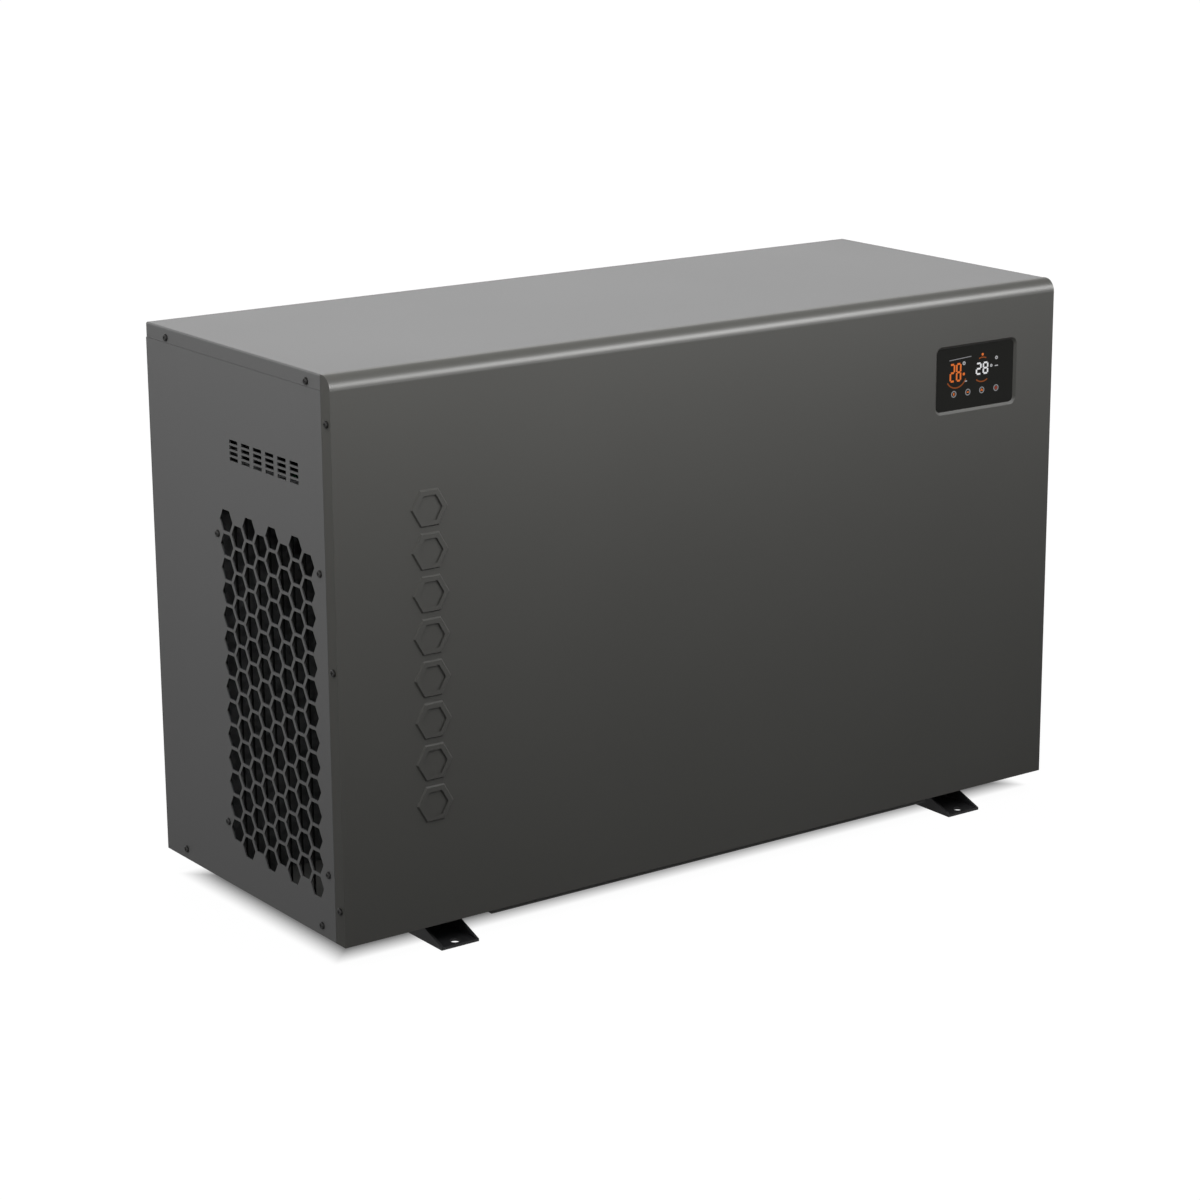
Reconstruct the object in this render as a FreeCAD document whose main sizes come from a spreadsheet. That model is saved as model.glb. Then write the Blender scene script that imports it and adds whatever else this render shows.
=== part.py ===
import FreeCAD, Part
import Sketcher
import math
import os
import re

# A pool heat pump: a shallow sheet-metal cabinet on two channel feet. Its left room holds a centrifugal fan
# and an evaporator, its right room the compressor, the valves and the water heat exchanger.
# X runs to the right, Y to the back and Z up. The origin is on the ground, midway between the
# four foot holes.

SIZES = [
    ("casing_width", 1000, "cabinet, left face to right face"),
    ("casing_depth", 394, "cabinet, front face to rear face"),
    ("casing_height", 615, "cabinet without its feet"),
    ("foot_height", 25, "feet, ground to cabinet"),
    ("panel_sheet", 1.5, "thickness of the painted panels"),
    ("seam_gap", 0.3, "gap at every seam between panels"),
    ("front_flange", 18.3, "side flange of the front panel"),
    ("cover_flange", 17, "turned-down flange of the top cover"),
    ("top_round", 15, "outer radius of the front panel's top edge"),
    ("edge_round", 2, "outer radius of the cover's folded edges"),
    ("seam_lip", 8, "lip behind a seam"),
    ("rear_return", 20, "inward flange of the side panels at the back"),
    ("pan_sheet", 1.5, "thickness of the base pan"),
    ("pan_rim", 25, "upstand round the base pan"),
    ("pan_step", 4, "how far the pan's middle hangs below its ends"),
    ("pan_end_width", 188, "width of each raised end of the pan"),
    ("foot_width", 48, "sole of a foot"),
    ("foot_inset", 136, "foot centre to the cabinet's side"),
    ("foot_overhang", 13, "foot tip beyond the cabinet's face"),
    ("foot_sheet", 3, "thickness of a foot"),
    ("foot_slope_run", 60, "length of a foot's slanted end"),
    ("foot_ear", 14, "top flange of a foot"),
    ("foot_bolt_inset", 139, "foot screws before and behind the cabinet's middle"),
    ("foot_bolt_length", 12, "foot screws' shank"),
    ("bolt_radius", 3, "shank of the bolts of feet and fan motor"),
    ("bolt_play", 0.1, "holes larger than these shanks, on the radius"),
    ("bolt_flats", 10, "their heads and nuts, across the flats"),
    ("bolt_head", 4, "height of their heads"),
    ("bolt_nut", 5, "height of their nuts"),
    ("ground_hole_inset", 11, "ground bolt hole to the foot's tip"),
    ("ground_hole_bore", 5.75, "radius of a ground bolt hole"),
    ("screw_shank", 1.9, "radius of a casing screw's shank"),
    ("screw_head", 4, "radius of a casing screw's head"),
    ("screw_height", 2.4, "height of a casing screw's head"),
    ("screw_length", 6, "casing screw below its head"),
    ("screw_head_round", 1.5, "rounding of its head"),
    ("recess_reach", 2.2, "arm of the crossed recess"),
    ("recess_width", 0.9, "width of an arm"),
    ("recess_depth", 1.3, "depth of the recess"),
    ("screw_play", 0.1, "screw hole larger than the shank, on the radius"),
    ("cover_screw_inset", 46.5, "side screws of cover and pan to the cabinet's faces"),
    ("cover_screw_drop", 11, "cover screws below the top"),
    ("pan_screw_rise", 12, "pan screws above the cabinet's lower edge"),
    ("flange_screw_inset", 8.3, "front panel's side screws behind its face"),
    ("flange_screw_low", 39, "lowest of them above the lower edge"),
    ("flange_screw_high", 50, "highest of them below the top"),
    ("rear_screw_inset", 10, "rear column of screws to the cabinet's side"),
    ("rear_screw_low", 123, "lowest and highest of that column to the cabinet's edges"),
    ("rear_edge_pitch", 240, "between the screws along the rear panel's edges"),
    ("rear_edge_screws", 4, "screws along each of these edges"),
    ("drill_depth", 9, "screw holes in the rear face are drilled this deep"),
    ("hex_flats", 24, "punched hexagon, across its flats"),
    ("hex_column_pitch", 24.5, "between columns of hexagons"),
    ("hex_row_pitch", 27.2, "between rows of hexagons"),
    ("outlet_columns", 8, "columns of the left grille"),
    ("outlet_centre", 140.6, "left grille's middle behind the front face"),
    ("outlet_low", 54.2, "lowest hexagon centres above the lower edge"),
    ("outlet_headroom", 190, "left grille's top hexagon centres below the top, at least"),
    ("guard_screw_low", 73.7, "lower grille screws above the lower edge"),
    ("guard_screw_front", 30.2, "front grille screws behind the front face"),
    ("guard_screw_span", 215.6, "front to rear grille screws"),
    ("guard_screw_rise", 330.1, "lower to upper grille screws"),
    ("guard_wire", 1.25, "radius of a guard wire"),
    ("guard_low_border", 12, "guard's frame below the lowest hexagons"),
    ("guard_high_border", 16, "guard's frame above the highest hexagons"),
    ("guard_low_rail", 11, "guard's lower rail"),
    ("guard_high_rail", 14, "guard's upper rail"),
    ("guard_low_weld", 4, "wires above the lower rail's edge"),
    ("guard_high_weld", 7, "wires below the upper rail's edge"),
    ("slot_length", 17.5, "ventilation slot, end to end"),
    ("slot_width", 4.2, "ventilation slot, across"),
    ("slot_column_pitch", 25.5, "between columns of slots"),
    ("slot_row_pitch", 6.4, "between rows of slots"),
    ("slot_columns", 6, "columns of slots"),
    ("slot_rows", 4, "rows of slots"),
    ("slot_drop", 112.8, "middle of the slots below the top"),
    ("intake_low", 75.6, "lowest hexagon centres of the rear grille above the lower edge"),
    ("intake_margin", 22, "rear grille's edge to the side wall and to the partition"),
    ("intake_headroom", 90, "its top hexagon centres below the top, at least"),
    ("display_width", 127, "display opening, width"),
    ("display_height", 81, "display opening, height"),
    ("display_round", 9, "display opening, corner radius"),
    ("display_inset", 121.3, "display's middle to the cabinet's right side"),
    ("display_drop", 103.3, "display's middle below the top"),
    ("display_rim", 3, "drawn rim round the display opening"),
    ("display_rim_depth", 1, "drawn rim behind the sheet"),
    ("display_taper", 50, "slope of the opening's sides, degrees"),
    ("glass_thickness", 2, "display glass"),
    ("display_case_depth", 22, "display housing behind the glass"),
    ("display_wall", 2, "wall of the display housing"),
    ("lit_side_margin", 15, "lit panel inside the opening, at each side"),
    ("lit_end_margin", 11, "lit panel inside the opening, above and below"),
    ("lit_depth", 4, "thickness of the lit panel"),
    ("lit_round", 2, "its corner radius"),
    ("lit_shelf_width", 40, "block that holds it in the housing, width"),
    ("lit_shelf_height", 30, "block that holds it in the housing, height"),
    ("ornament_inset", 115.5, "raised hexagons' centre line to the left side"),
    ("ornament_low", 139, "lowest raised hexagon above the lower edge"),
    ("ornament_pitch", 46.3, "between raised hexagons"),
    ("ornament_count", 8, "raised hexagons"),
    ("ornament_flats", 40, "raised hexagon, across its flats"),
    ("ornament_line", 5, "width of a raised hexagon's line"),
    ("ornament_height", 1.8, "height of the raised hexagons"),
    ("ornament_slope", 40, "slope of their flanks, degrees"),
    ("machine_room_width", 350, "right room, partition to the right side"),
    ("fan_room_depth", 250, "fan room, front face to bulkhead"),
    ("box_room_height", 155, "electrical room under the top"),
    ("box_side_gap", 8, "electrical box to the left panel"),
    ("box_front_gap", 18, "electrical box behind the front face"),
    ("lid_drop", 17, "electrical box below the top"),
    ("vent_width", 152, "vent in the box behind the slots, width"),
    ("vent_height", 26, "vent in the box behind the slots, height"),
    ("sink_inset", 30, "heat sink to the box's left side"),
    ("sink_width", 120, "heat sink"),
    ("sink_front", 40, "heat sink to the box's front"),
    ("sink_back", 70, "heat sink to the box's back"),
    ("sink_base", 6, "heat sink's base plate"),
    ("sink_depth", 34, "heat sink below the box"),
    ("sink_fins", 12, "fins of the heat sink"),
    ("sink_pitch", 10.5, "between its fins"),
    ("sink_fin", 2, "a fin"),
    ("board_lift", 8, "circuit boards above the box's floor"),
    ("board_sheet", 1.6, "circuit board"),
    ("board_depth", 160, "circuit boards, front to back"),
    ("board_front", 16, "circuit boards to the box's front"),
    ("inverter_west", 20, "inverter board to the box's left side"),
    ("inverter_width", 160, "inverter board"),
    ("control_west", 300, "control board to the box's left side"),
    ("control_width", 170, "control board"),
    ("inner_sheet", 1.5, "thickness of the galvanised inner plates"),
    ("fan_offset", 330, "fan axis to the cabinet's left side"),
    ("wheel_clearance", 51, "fan wheel to the pan and to the electrical box"),
    ("wheel_eye", 125, "radius of the wheel's inlet"),
    ("wheel_depth", 115, "fan wheel, back plate to inlet edge"),
    ("wheel_rim_depth", 85, "fan wheel at its outer edge"),
    ("wheel_wall", 2, "plates of the fan wheel"),
    ("wheel_blades", 7, "blades"),
    ("blade_root", 112, "blade's inner edge from the axis"),
    ("blade_sweep", 40, "blade's sweep about the axis, degrees"),
    ("blade_curve", 150, "radius of a blade's curve"),
    ("blade_angle", 1.2, "blade's thickness as an angle, degrees"),
    ("hub_radius", 24, "fan hub"),
    ("hub_length", 25, "fan hub along the shaft"),
    ("wheel_bore_play", 0.03, "wheel and nut on the shaft, on the radius"),
    ("fan_nut_flats", 18, "fan nut, across its flats"),
    ("fan_nut_height", 9, "fan nut"),
    ("shaft_tip", 14, "shaft beyond the hub"),
    ("shaft_radius", 6, "fan shaft"),
    ("shaft_play", 0.05, "fan shaft in the motor's bearings, on the radius"),
    ("motor_radius", 66, "fan motor"),
    ("motor_gap", 8, "motor to the wheel's back plate"),
    ("motor_round", 12, "rounding of the motor's shaft end"),
    ("motor_bolt_share", 0.55, "motor bolts' square as a share of the motor's radius"),
    ("bracket_front_gap", 10, "motor bracket behind the front panel"),
    ("bracket_width", 190, "motor bracket"),
    ("bracket_sheet", 3, "motor bracket's plate"),
    ("bracket_crown", 24, "motor bracket above the motor"),
    ("bracket_sole", 60, "its sole along the pan"),
    ("bracket_web", 12, "its side webs at the top"),
    ("mouth_gap", 3.5, "running gap between bell mouth and wheel"),
    ("mouth_overlap", 4, "bell mouth inside the wheel's inlet"),
    ("mouth_round", 28, "radius of the bell mouth's curve"),
    ("mouth_flange", 22, "bell mouth's flat flange"),
    ("coil_rows", 2, "rows of tubes"),
    ("row_pitch", 22, "between rows of tubes"),
    ("tube_pitch", 25.4, "between tubes of a row"),
    ("tube_radius", 4.76, "coil tube"),
    ("tube_play", 0.15, "coil tube in the fins' collars, on the radius"),
    ("coil_lift", 11, "fins above the cabinet's lower edge"),
    ("coil_headroom", 84, "room above the fins"),
    ("coil_back_gap", 13, "fins to the cabinet's rear face"),
    ("coil_side_gap", 36, "fins to the cabinet's left side"),
    ("tube_end", 8, "coil tubes beyond the right end plate"),
    ("end_plate_rise", 8, "end plates above the fins"),
    ("header_radius", 14.3, "coil headers"),
    ("header_reach", 8, "headers beyond their outermost tubes"),
    ("header_crown", 30, "suction header above its top tube"),
    ("header_offset", 45, "headers to the partition"),
    ("compressor_offset", 82, "compressor axis to the partition"),
    ("compressor_setback", 137, "compressor axis behind the front face"),
    ("compressor_radius", 60, "compressor shell"),
    ("compressor_height", 268, "compressor shell"),
    ("compressor_lift", 36, "compressor above the pan"),
    ("compressor_dome", 30, "radius of its top edge"),
    ("compressor_foot_round", 8, "radius of its bottom edge"),
    ("terminal_offset", 26, "terminal cover to the compressor's axis"),
    ("terminal_radius", 22, "terminal cover"),
    ("terminal_rise", 22, "terminal cover above the compressor"),
    ("terminal_drop", 12, "terminal cover's edge below the compressor's top"),
    ("ear_circle", 74, "compressor feet from its axis"),
    ("ear_radius", 14, "rounding of a compressor foot"),
    ("ear_sheet", 3, "compressor base plate"),
    ("grommet_radius", 12, "rubber grommet"),
    ("grommet_neck", 8, "grommet's neck in the base plate"),
    ("stud_radius", 3, "compressor stud"),
    ("rubber_play", 0.2, "rubber grommet round its stud and in its ear, on the radius"),
    ("grommet_collar", 4, "grommet's collar above the base plate"),
    ("stud_washer", 10, "washer on a stud, radius"),
    ("stud_nut", 5.5, "nut on a stud, radius"),
    ("stud_tip", 4, "stud beyond its nut"),
    ("accumulator_radius", 32, "suction accumulator"),
    ("accumulator_height", 190, "suction accumulator"),
    ("accumulator_lift", 85, "accumulator above the pan"),
    ("accumulator_east", 95, "accumulator to the right of the compressor"),
    ("accumulator_south", 46, "accumulator in front of the compressor"),
    ("accumulator_round", 14, "its rounded ends"),
    ("elbow_drop", 22, "elbow below the accumulator"),
    ("strap_rise", 100, "strap above the accumulator's foot"),
    ("strap_height", 18, "strap"),
    ("valve_radius", 14, "four-way valve"),
    ("valve_length", 112, "four-way valve"),
    ("valve_rise", 84, "four-way valve above the compressor"),
    ("valve_east", 18, "four-way valve to the right of the compressor's axis"),
    ("valve_north", 40, "four-way valve behind the compressor's axis"),
    ("valve_port", 8, "valve's ports beyond its body"),
    ("port_sleeve", 1.5, "ports thicker than their pipes, on the radius"),
    ("solenoid_width", 34, "solenoid, along and up"),
    ("solenoid_depth", 30, "solenoid in front of the valve"),
    ("valve_port_pitch", 25, "between its upper ports"),
    ("pipe_radius", 6, "refrigerant pipes"),
    ("pipe_wall", 1, "wall of the refrigerant pipes"),
    ("pipe_bend", 14, "bend radius of the refrigerant pipes"),
    ("discharge_drop", 30, "discharge pipe's level run below the valve's port"),
    ("suction_rise", 32, "suction pipe's level run above the valve's ports"),
    ("gas_rise", 68, "gas pipe's level run above the valve's ports"),
    ("coil_pipe_rise", 30, "coil pipe's level run above the header"),
    ("exchanger_port", 25, "heat exchanger's pipes before and behind its axis"),
    ("liquid_rise", 42, "liquid pipe's level run above the heat exchanger"),
    ("liquid_west", 105, "expansion valve to the left of the heat exchanger's axis"),
    ("liquid_lane", 34, "lower liquid pipe's level run above the header"),
    ("expansion_low", 210, "expansion valve above the cabinet's lower edge"),
    ("expansion_length", 60, "expansion valve"),
    ("expansion_body", 15, "its body, radius"),
    ("expansion_neck", 10, "its neck, radius"),
    ("expansion_port", 8, "its ports, radius"),
    ("exchanger_inset", 95, "heat exchanger axis to the right side"),
    ("exchanger_setback", 147, "heat exchanger axis to the rear face"),
    ("exchanger_radius", 72, "heat exchanger shell"),
    ("exchanger_height", 400, "heat exchanger shell"),
    ("exchanger_wall", 5, "wall of the shell"),
    ("exchanger_round", 16, "rounding of its top edge"),
    ("coil_ring", 48, "titanium coil, radius of its turns"),
    ("coil_ring_tube", 6, "its tube, radius"),
    ("coil_riser", 5, "its upright ends, radius"),
    ("coil_turns", 10, "its turns"),
    ("coil_ring_low", 30, "lowest turn above the shell's floor"),
    ("coil_ring_high", 50, "highest turn below the shell's inner top"),
    ("water_low", 85, "inlet above the cabinet's lower edge"),
    ("water_high", 320, "outlet above the cabinet's lower edge"),
    ("water_bore", 20, "radius of the water way"),
    ("water_stub_wall", 6, "wall of the shell's water stubs"),
    ("water_stub_end", 22, "stubs end this far inside the rear face"),
    ("union_play", 1.5, "union body in the rear panel's hole, on the radius"),
    ("union_thread", 34, "outer radius of the union's thread"),
    ("union_flange", 3, "flange outside the rear panel"),
    ("union_length", 25, "union body outside the rear panel"),
    ("seal_depth", 2, "flat seal"),
    ("collar_depth", 6, "collar of a union tail"),
    ("nut_play", 0.3, "union nut over thread and collar"),
    ("nut_wall", 8, "union nut over its thread"),
    ("nut_lip", 6.7, "union nut behind the collar"),
    ("socket_bore", 25.1, "socket for a 50 mm pipe, radius"),
    ("socket_depth", 31, "socket"),
    ("socket_wall", 4.1, "wall of the socket"),
    ("switch_bore", 7, "flow switch nipple, inner radius"),
    ("switch_nipple", 8.9, "flow switch nipple, outer radius"),
    ("switch_setback", 16, "flow switch in front of the stub's end"),
    ("switch_hex", 14, "its wrench collar, radius"),
    ("switch_case_width", 32, "its case, across the stub"),
    ("switch_case_depth", 26, "its case, along the stub"),
    ("switch_case_height", 38, "its case"),
    ("paddle_width", 20, "paddle"),
    ("paddle_sheet", 1.2, "paddle"),
    ("paddle_gap", 7, "paddle to the bottom of the water way"),
    ("paddle_pin", 1.2, "paddle's pin"),
    ("paddle_play", 0.05, "paddle on its pin, on the radius"),
    ("gland_inset", 200, "cable glands to the right side"),
    ("gland_drop", 60, "upper gland below the top"),
    ("gland_pitch", 36, "between the glands"),
    ("gland_thread", 9.5, "gland's thread"),
    ("gland_bore", 5.5, "gland's bore"),
    ("gland_flange", 13, "gland's flange, radius"),
    ("gland_cap", 11.5, "gland's cap nut, radius"),
    ("gland_mouth", 8.5, "gland's mouth, radius"),
    ("gland_inner", 10, "gland inside the panel"),
    ("gland_flange_depth", 5, "gland's flange"),
    ("gland_cap_depth", 16, "gland's cap, outside the panel"),
    ("gland_length", 19, "gland, outside the panel"),
    ("drain_radius", 9, "condensate spigot"),
    ("drain_bore", 6.5, "condensate spigot's bore"),
    ("drain_length", 15, "condensate spigot below its flange"),
    ("drain_flange", 6, "its flange beyond the tube"),
    ("drain_flange_depth", 2, "its flange"),
]

doc = FreeCAD.newDocument("heat_pump_unit")
sheet = doc.addObject("Spreadsheet::Sheet", "Sizes")
for row, (alias, amount, meaning) in enumerate(SIZES, 1):
    sheet.set("A%d" % row, alias)
    sheet.set("B%d" % row, str(amount))
    sheet.set("C%d" % row, meaning)
    sheet.setAlias("B%d" % row, alias)
doc.recompute()

# Places that many pieces share, as expressions on the sheet.
LEFT = "(-casing_width / 2)"
RIGHT = "(casing_width / 2)"
FRONT = "(-casing_depth / 2)"
BACK = "(casing_depth / 2)"
TOP = "(foot_height + casing_height)"
SEAM = "(-casing_depth / 2 + front_flange)"
PAN_LOW = "(foot_height - pan_step + pan_sheet)"
PAN_HIGH = "(foot_height + pan_sheet)"
STEP = "(casing_width / 2 - pan_end_width)"
FOOT = "(casing_width / 2 - foot_inset)"
PARTITION = "(casing_width / 2 - machine_room_width)"
BULKHEAD = "(-casing_depth / 2 + fan_room_depth)"
BOX_FLOOR = "(foot_height + casing_height - box_room_height)"
FAN_X = "(-casing_width / 2 + fan_offset)"
FAN_Z = "(foot_height + (casing_height - box_room_height) / 2)"
WHEEL = "((casing_height - box_room_height) / 2 - wheel_clearance)"
MOUTH_TIP = "(%s - inner_sheet - mouth_round)" % BULKHEAD
WHEEL_BACK = "(%s + mouth_overlap - wheel_depth)" % MOUTH_TIP
MOTOR_FACE = "(-casing_depth / 2 + 2 * panel_sheet + bracket_front_gap + bracket_sheet)"
COIL_FRONT = "(casing_depth / 2 - coil_back_gap - coil_rows * row_pitch)"
COIL_BACK = "(casing_depth / 2 - coil_back_gap)"
COIL_LEFT = "(-casing_width / 2 + coil_side_gap)"
COIL_BASE = "(foot_height + coil_lift)"
INNER_TOP = "(foot_height + casing_height - 2 * panel_sheet - seam_gap)"
MACHINE_X = "(casing_width / 2 - machine_room_width + compressor_offset)"
MACHINE_Y = "(-casing_depth / 2 + compressor_setback)"
MACHINE_Z = "(foot_height - pan_step + pan_sheet + compressor_lift)"
MACHINE_TOP = "(%s + compressor_height)" % MACHINE_Z
BOTTLE_X = "(%s + accumulator_east)" % MACHINE_X
BOTTLE_Y = "(%s - accumulator_south)" % MACHINE_Y
BOTTLE_Z = "(foot_height - pan_step + pan_sheet + accumulator_lift)"
VALVE_X = "(%s + valve_east)" % MACHINE_X
VALVE_Y = "(%s + valve_north)" % MACHINE_Y
VALVE_Z = "(%s + valve_rise)" % MACHINE_TOP
WATER_X = "(casing_width / 2 - exchanger_inset)"
WATER_Y = "(casing_depth / 2 - exchanger_setback)"
WATER_TOP = "(foot_height + pan_sheet + exchanger_height)"
HEADER_X = "(%s + header_offset)" % PARTITION
HEADER_Y = "(%s + coil_rows * row_pitch / 2)" % COIL_FRONT

ALIASES = {alias for alias, amount, meaning in SIZES}
WORD = re.compile(r"[a-z]\w*")
TURN = {
    "x": FreeCAD.Rotation(FreeCAD.Vector(0, 1, 0), 90),
    "y": FreeCAD.Rotation(FreeCAD.Vector(1, 0, 0), -90),
    "z": FreeCAD.Rotation(),
    "-x": FreeCAD.Rotation(FreeCAD.Vector(0, 1, 0), -90),
    "-y": FreeCAD.Rotation(FreeCAD.Vector(1, 0, 0), 90),
    "-z": FreeCAD.Rotation(FreeCAD.Vector(1, 0, 0), 180),
}
finished = []


def bound(expression):
    """An expression as other objects read it, with each alias marked as the sheet's."""
    return WORD.sub(lambda word: "Sizes." + word[0] if word[0] in ALIASES else word[0], expression)


def amount_of(expression):
    """The number that an expression gives now."""
    return float(sheet.evalExpression(expression))


def point_of(place):
    return FreeCAD.Vector(*[amount_of(part) for part in place])


def count_of(expression):
    return int(math.floor(amount_of(expression) + 1e-6))


def keep(part, label):
    """Mark a finished sub-part; its label names its file."""
    part.Label = label
    finished.append(part)
    return part


def put(part, place):
    """Bind a part's position to three expressions."""
    for axis, expression in zip("xyz", place):
        part.setExpression("Placement.Base." + axis, bound(expression))


def box(x, y, z):
    """A block; each argument is its low and high position on that axis."""
    part = doc.addObject("Part::Box", "Block")
    put(part, (x[0], y[0], z[0]))
    for side, (low, high) in zip(("Length", "Width", "Height"), (x, y, z)):
        part.setExpression(side, bound("(%s) - (%s)" % (high, low)))
    return part


def cylinder(axis, centre, radius, low, high):
    """A round bar along an axis; the centre gives the other two coordinates in order."""
    part = doc.addObject("Part::Cylinder", "Bar")
    part.Placement = FreeCAD.Placement(FreeCAD.Vector(), TURN[axis])
    place = list(centre)
    place.insert("xyz".index(axis), low)
    put(part, place)
    part.setExpression("Radius", bound(radius))
    part.setExpression("Height", bound("(%s) - (%s)" % (high, low)))
    return part


def fuse(*pieces):
    part = doc.addObject("Part::MultiFuse", "Joined")
    part.Shapes = list(pieces)
    part.Refine = True
    return part


def cut(base, *tools):
    """A piece less some tools, which may touch each other."""
    part = doc.addObject("Part::Cut", "Trimmed")
    part.Base = base
    part.Tool = tools[0] if len(tools) == 1 else fuse(*tools)
    part.Refine = True
    return part


def body(place=None, axis="z"):
    """A body whose own Z axis lies along the given axis at the given place."""
    part = doc.addObject("PartDesign::Body", "Body")
    part.Placement = FreeCAD.Placement(FreeCAD.Vector(), TURN[axis])
    if place:
        put(part, place)
    return part


def sketch(part, plane, offset, *outlines, circles=()):
    """A sketch on one of a body's planes. An outline is a row of points; a point with a third entry
    starts an arc of that radius, turning left when it is positive and right when negative."""
    drawing = part.newObject("Sketcher::SketchObject", "Sketch")
    support = [feature for feature in part.Origin.OriginFeatures if feature.Role == plane + "_Plane"]
    drawing.AttachmentSupport = [(support[0], "")]
    drawing.MapMode = "FlatFace"
    drawing.setExpression("AttachmentOffset.Base.z", bound(offset))
    for outline in outlines:
        draw_outline(drawing, outline)
    for across, up, radius in circles:
        centre = FreeCAD.Vector(amount_of(across), amount_of(up), 0)
        ring = drawing.addGeometry(Part.Circle(centre, FreeCAD.Vector(0, 0, 1), amount_of(radius)), False)
        fix_point(drawing, ring, 3, across, up)
        fix(drawing, Sketcher.Constraint("Radius", ring, amount_of(radius)), radius)
    return drawing


def fix(drawing, constraint, expression):
    """Add a constraint whose value follows an expression."""
    index = drawing.addConstraint(constraint)
    drawing.setExpression("Constraints[%d]" % index, bound(expression))


def fix_point(drawing, geometry, end, across, up):
    """Hold a point of a geometry at two bound distances from the sketch's origin."""
    fix(drawing, Sketcher.Constraint("DistanceX", -1, 1, geometry, end, amount_of(across)), across)
    fix(drawing, Sketcher.Constraint("DistanceY", -1, 1, geometry, end, amount_of(up)), up)


def draw_outline(drawing, outline):
    """A closed outline of lines and arcs, each corner held by the sheet."""
    corners = [FreeCAD.Vector(amount_of(point[0]), amount_of(point[1]), 0) for point in outline]
    starts = []
    ends = []
    for index, point in enumerate(outline):
        here = corners[index]
        there = corners[(index + 1) % len(corners)]
        if len(point) == 2:
            edge = drawing.addGeometry(Part.LineSegment(here, there), False)
            starts.append((edge, 1))
            ends.append((edge, 2))
            continue
        radius = amount_of(point[2])
        arc, leftward = arc_between(here, there, radius)
        edge = drawing.addGeometry(arc, False)
        starts.append((edge, 1 if leftward else 2))
        ends.append((edge, 2 if leftward else 1))
        size = point[2] if leftward else "-(%s)" % point[2]
        fix(drawing, Sketcher.Constraint("Radius", edge, abs(radius)), size)
    for index, point in enumerate(outline):
        fix_point(drawing, *starts[index], point[0], point[1])
        after = starts[(index + 1) % len(outline)]
        drawing.addConstraint(Sketcher.Constraint("Coincident", *ends[index], *after))


def arc_between(here, there, radius):
    """The short arc from one point to another; a negative radius turns right."""
    leftward = radius > 0
    half = (there - here) / 2
    reach = math.sqrt(max(radius ** 2 - half.Length ** 2, 0))
    side = FreeCAD.Vector(-half.y, half.x, 0).normalize()
    centre = here + half + side * (reach if leftward else -reach)
    angles = [math.atan2(point.y - centre.y, point.x - centre.x) for point in (here, there)]
    circle = Part.Circle(centre, FreeCAD.Vector(0, 0, 1), abs(radius))
    first, last = angles if leftward else reversed(angles)
    return Part.ArcOfCircle(circle, first, last), leftward


def pad(part, drawing, length, backwards=False, slope=None):
    feature = part.newObject("PartDesign::Pad", "Pad")
    feature.Profile = drawing
    feature.Reversed = backwards
    feature.setExpression("Length", bound(length))
    if slope:
        feature.setExpression("TaperAngle", bound(slope))
    return feature


def pocket(part, drawing, length, backwards=False, slope=None):
    feature = part.newObject("PartDesign::Pocket", "Pocket")
    feature.Profile = drawing
    feature.Reversed = backwards
    feature.setExpression("Length", bound(length))
    if slope:
        feature.setExpression("TaperAngle", bound(slope))
    return feature


def turn(part, kind, outline):
    """Revolve an outline of radii and heights about the body's Z axis."""
    drawing = sketch(part, "XZ", "0", outline)
    feature = part.newObject("PartDesign::" + kind, kind)
    feature.Profile = drawing
    feature.ReferenceAxis = (drawing, ["V_Axis"])
    feature.Angle = 360
    return feature


def turned(place, axis, *outlines):
    """A body of revolution along an axis."""
    part = body(place, axis)
    for outline in outlines:
        turn(part, "Revolution", outline)
    return part


def rectangle(across, up):
    """An outline from low and high limits in each direction."""
    return [(across[0], up[0]), (across[1], up[0]), (across[1], up[1]), (across[0], up[1])]


def rounded(centre, width, height, radius):
    """A rectangle with round corners about a centre."""
    x, y = centre
    out = "%s + (%s) / 2" % (x, width)
    back = "%s - (%s) / 2" % (x, width)
    high = "%s + (%s) / 2" % (y, height)
    low = "%s - (%s) / 2" % (y, height)
    r = "(%s)" % radius
    return [
        ("%s + %s" % (back, r), low), ("%s - %s" % (out, r), low, r),
        (out, "%s + %s" % (low, r)), (out, "%s - %s" % (high, r), r),
        ("%s - %s" % (out, r), high), ("%s + %s" % (back, r), high, r),
        (back, "%s - %s" % (high, r)), (back, "%s + %s" % (low, r), r),
    ]


def hexagon(centre, flats):
    """A hexagon with level top and bottom edges."""
    x, y = centre
    wide = "(%s) / sqrt(3)" % flats
    narrow = "(%s) / sqrt(12)" % flats
    high = "%s + (%s) / 2" % (y, flats)
    low = "%s - (%s) / 2" % (y, flats)
    return [
        ("%s - %s" % (x, narrow), low), ("%s + %s" % (x, narrow), low), ("%s + %s" % (x, wide), y),
        ("%s + %s" % (x, narrow), high), ("%s - %s" % (x, narrow), high), ("%s - %s" % (x, wide), y),
    ]


def plate(plane, offset, thickness, outline, circles=(), backwards=False):
    """A flat plate with round holes, made from one sketch."""
    part = body()
    drawing = sketch(part, plane, offset, outline, circles=circles)
    pad(part, drawing, thickness, backwards)
    return part


def group(pattern, places):
    """Copies of one piece as a group of separate solids. Each place is an axis and three expressions."""
    doc.recompute()
    copies = []
    for axis, place in places:
        copy = pattern.Shape.copy()
        copy.Placement = FreeCAD.Placement(point_of(place), TURN[axis])
        copies.append(copy)
    part = doc.addObject("Part::Feature", "Group")
    part.Shape = Part.makeCompound(copies)
    return part


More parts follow.
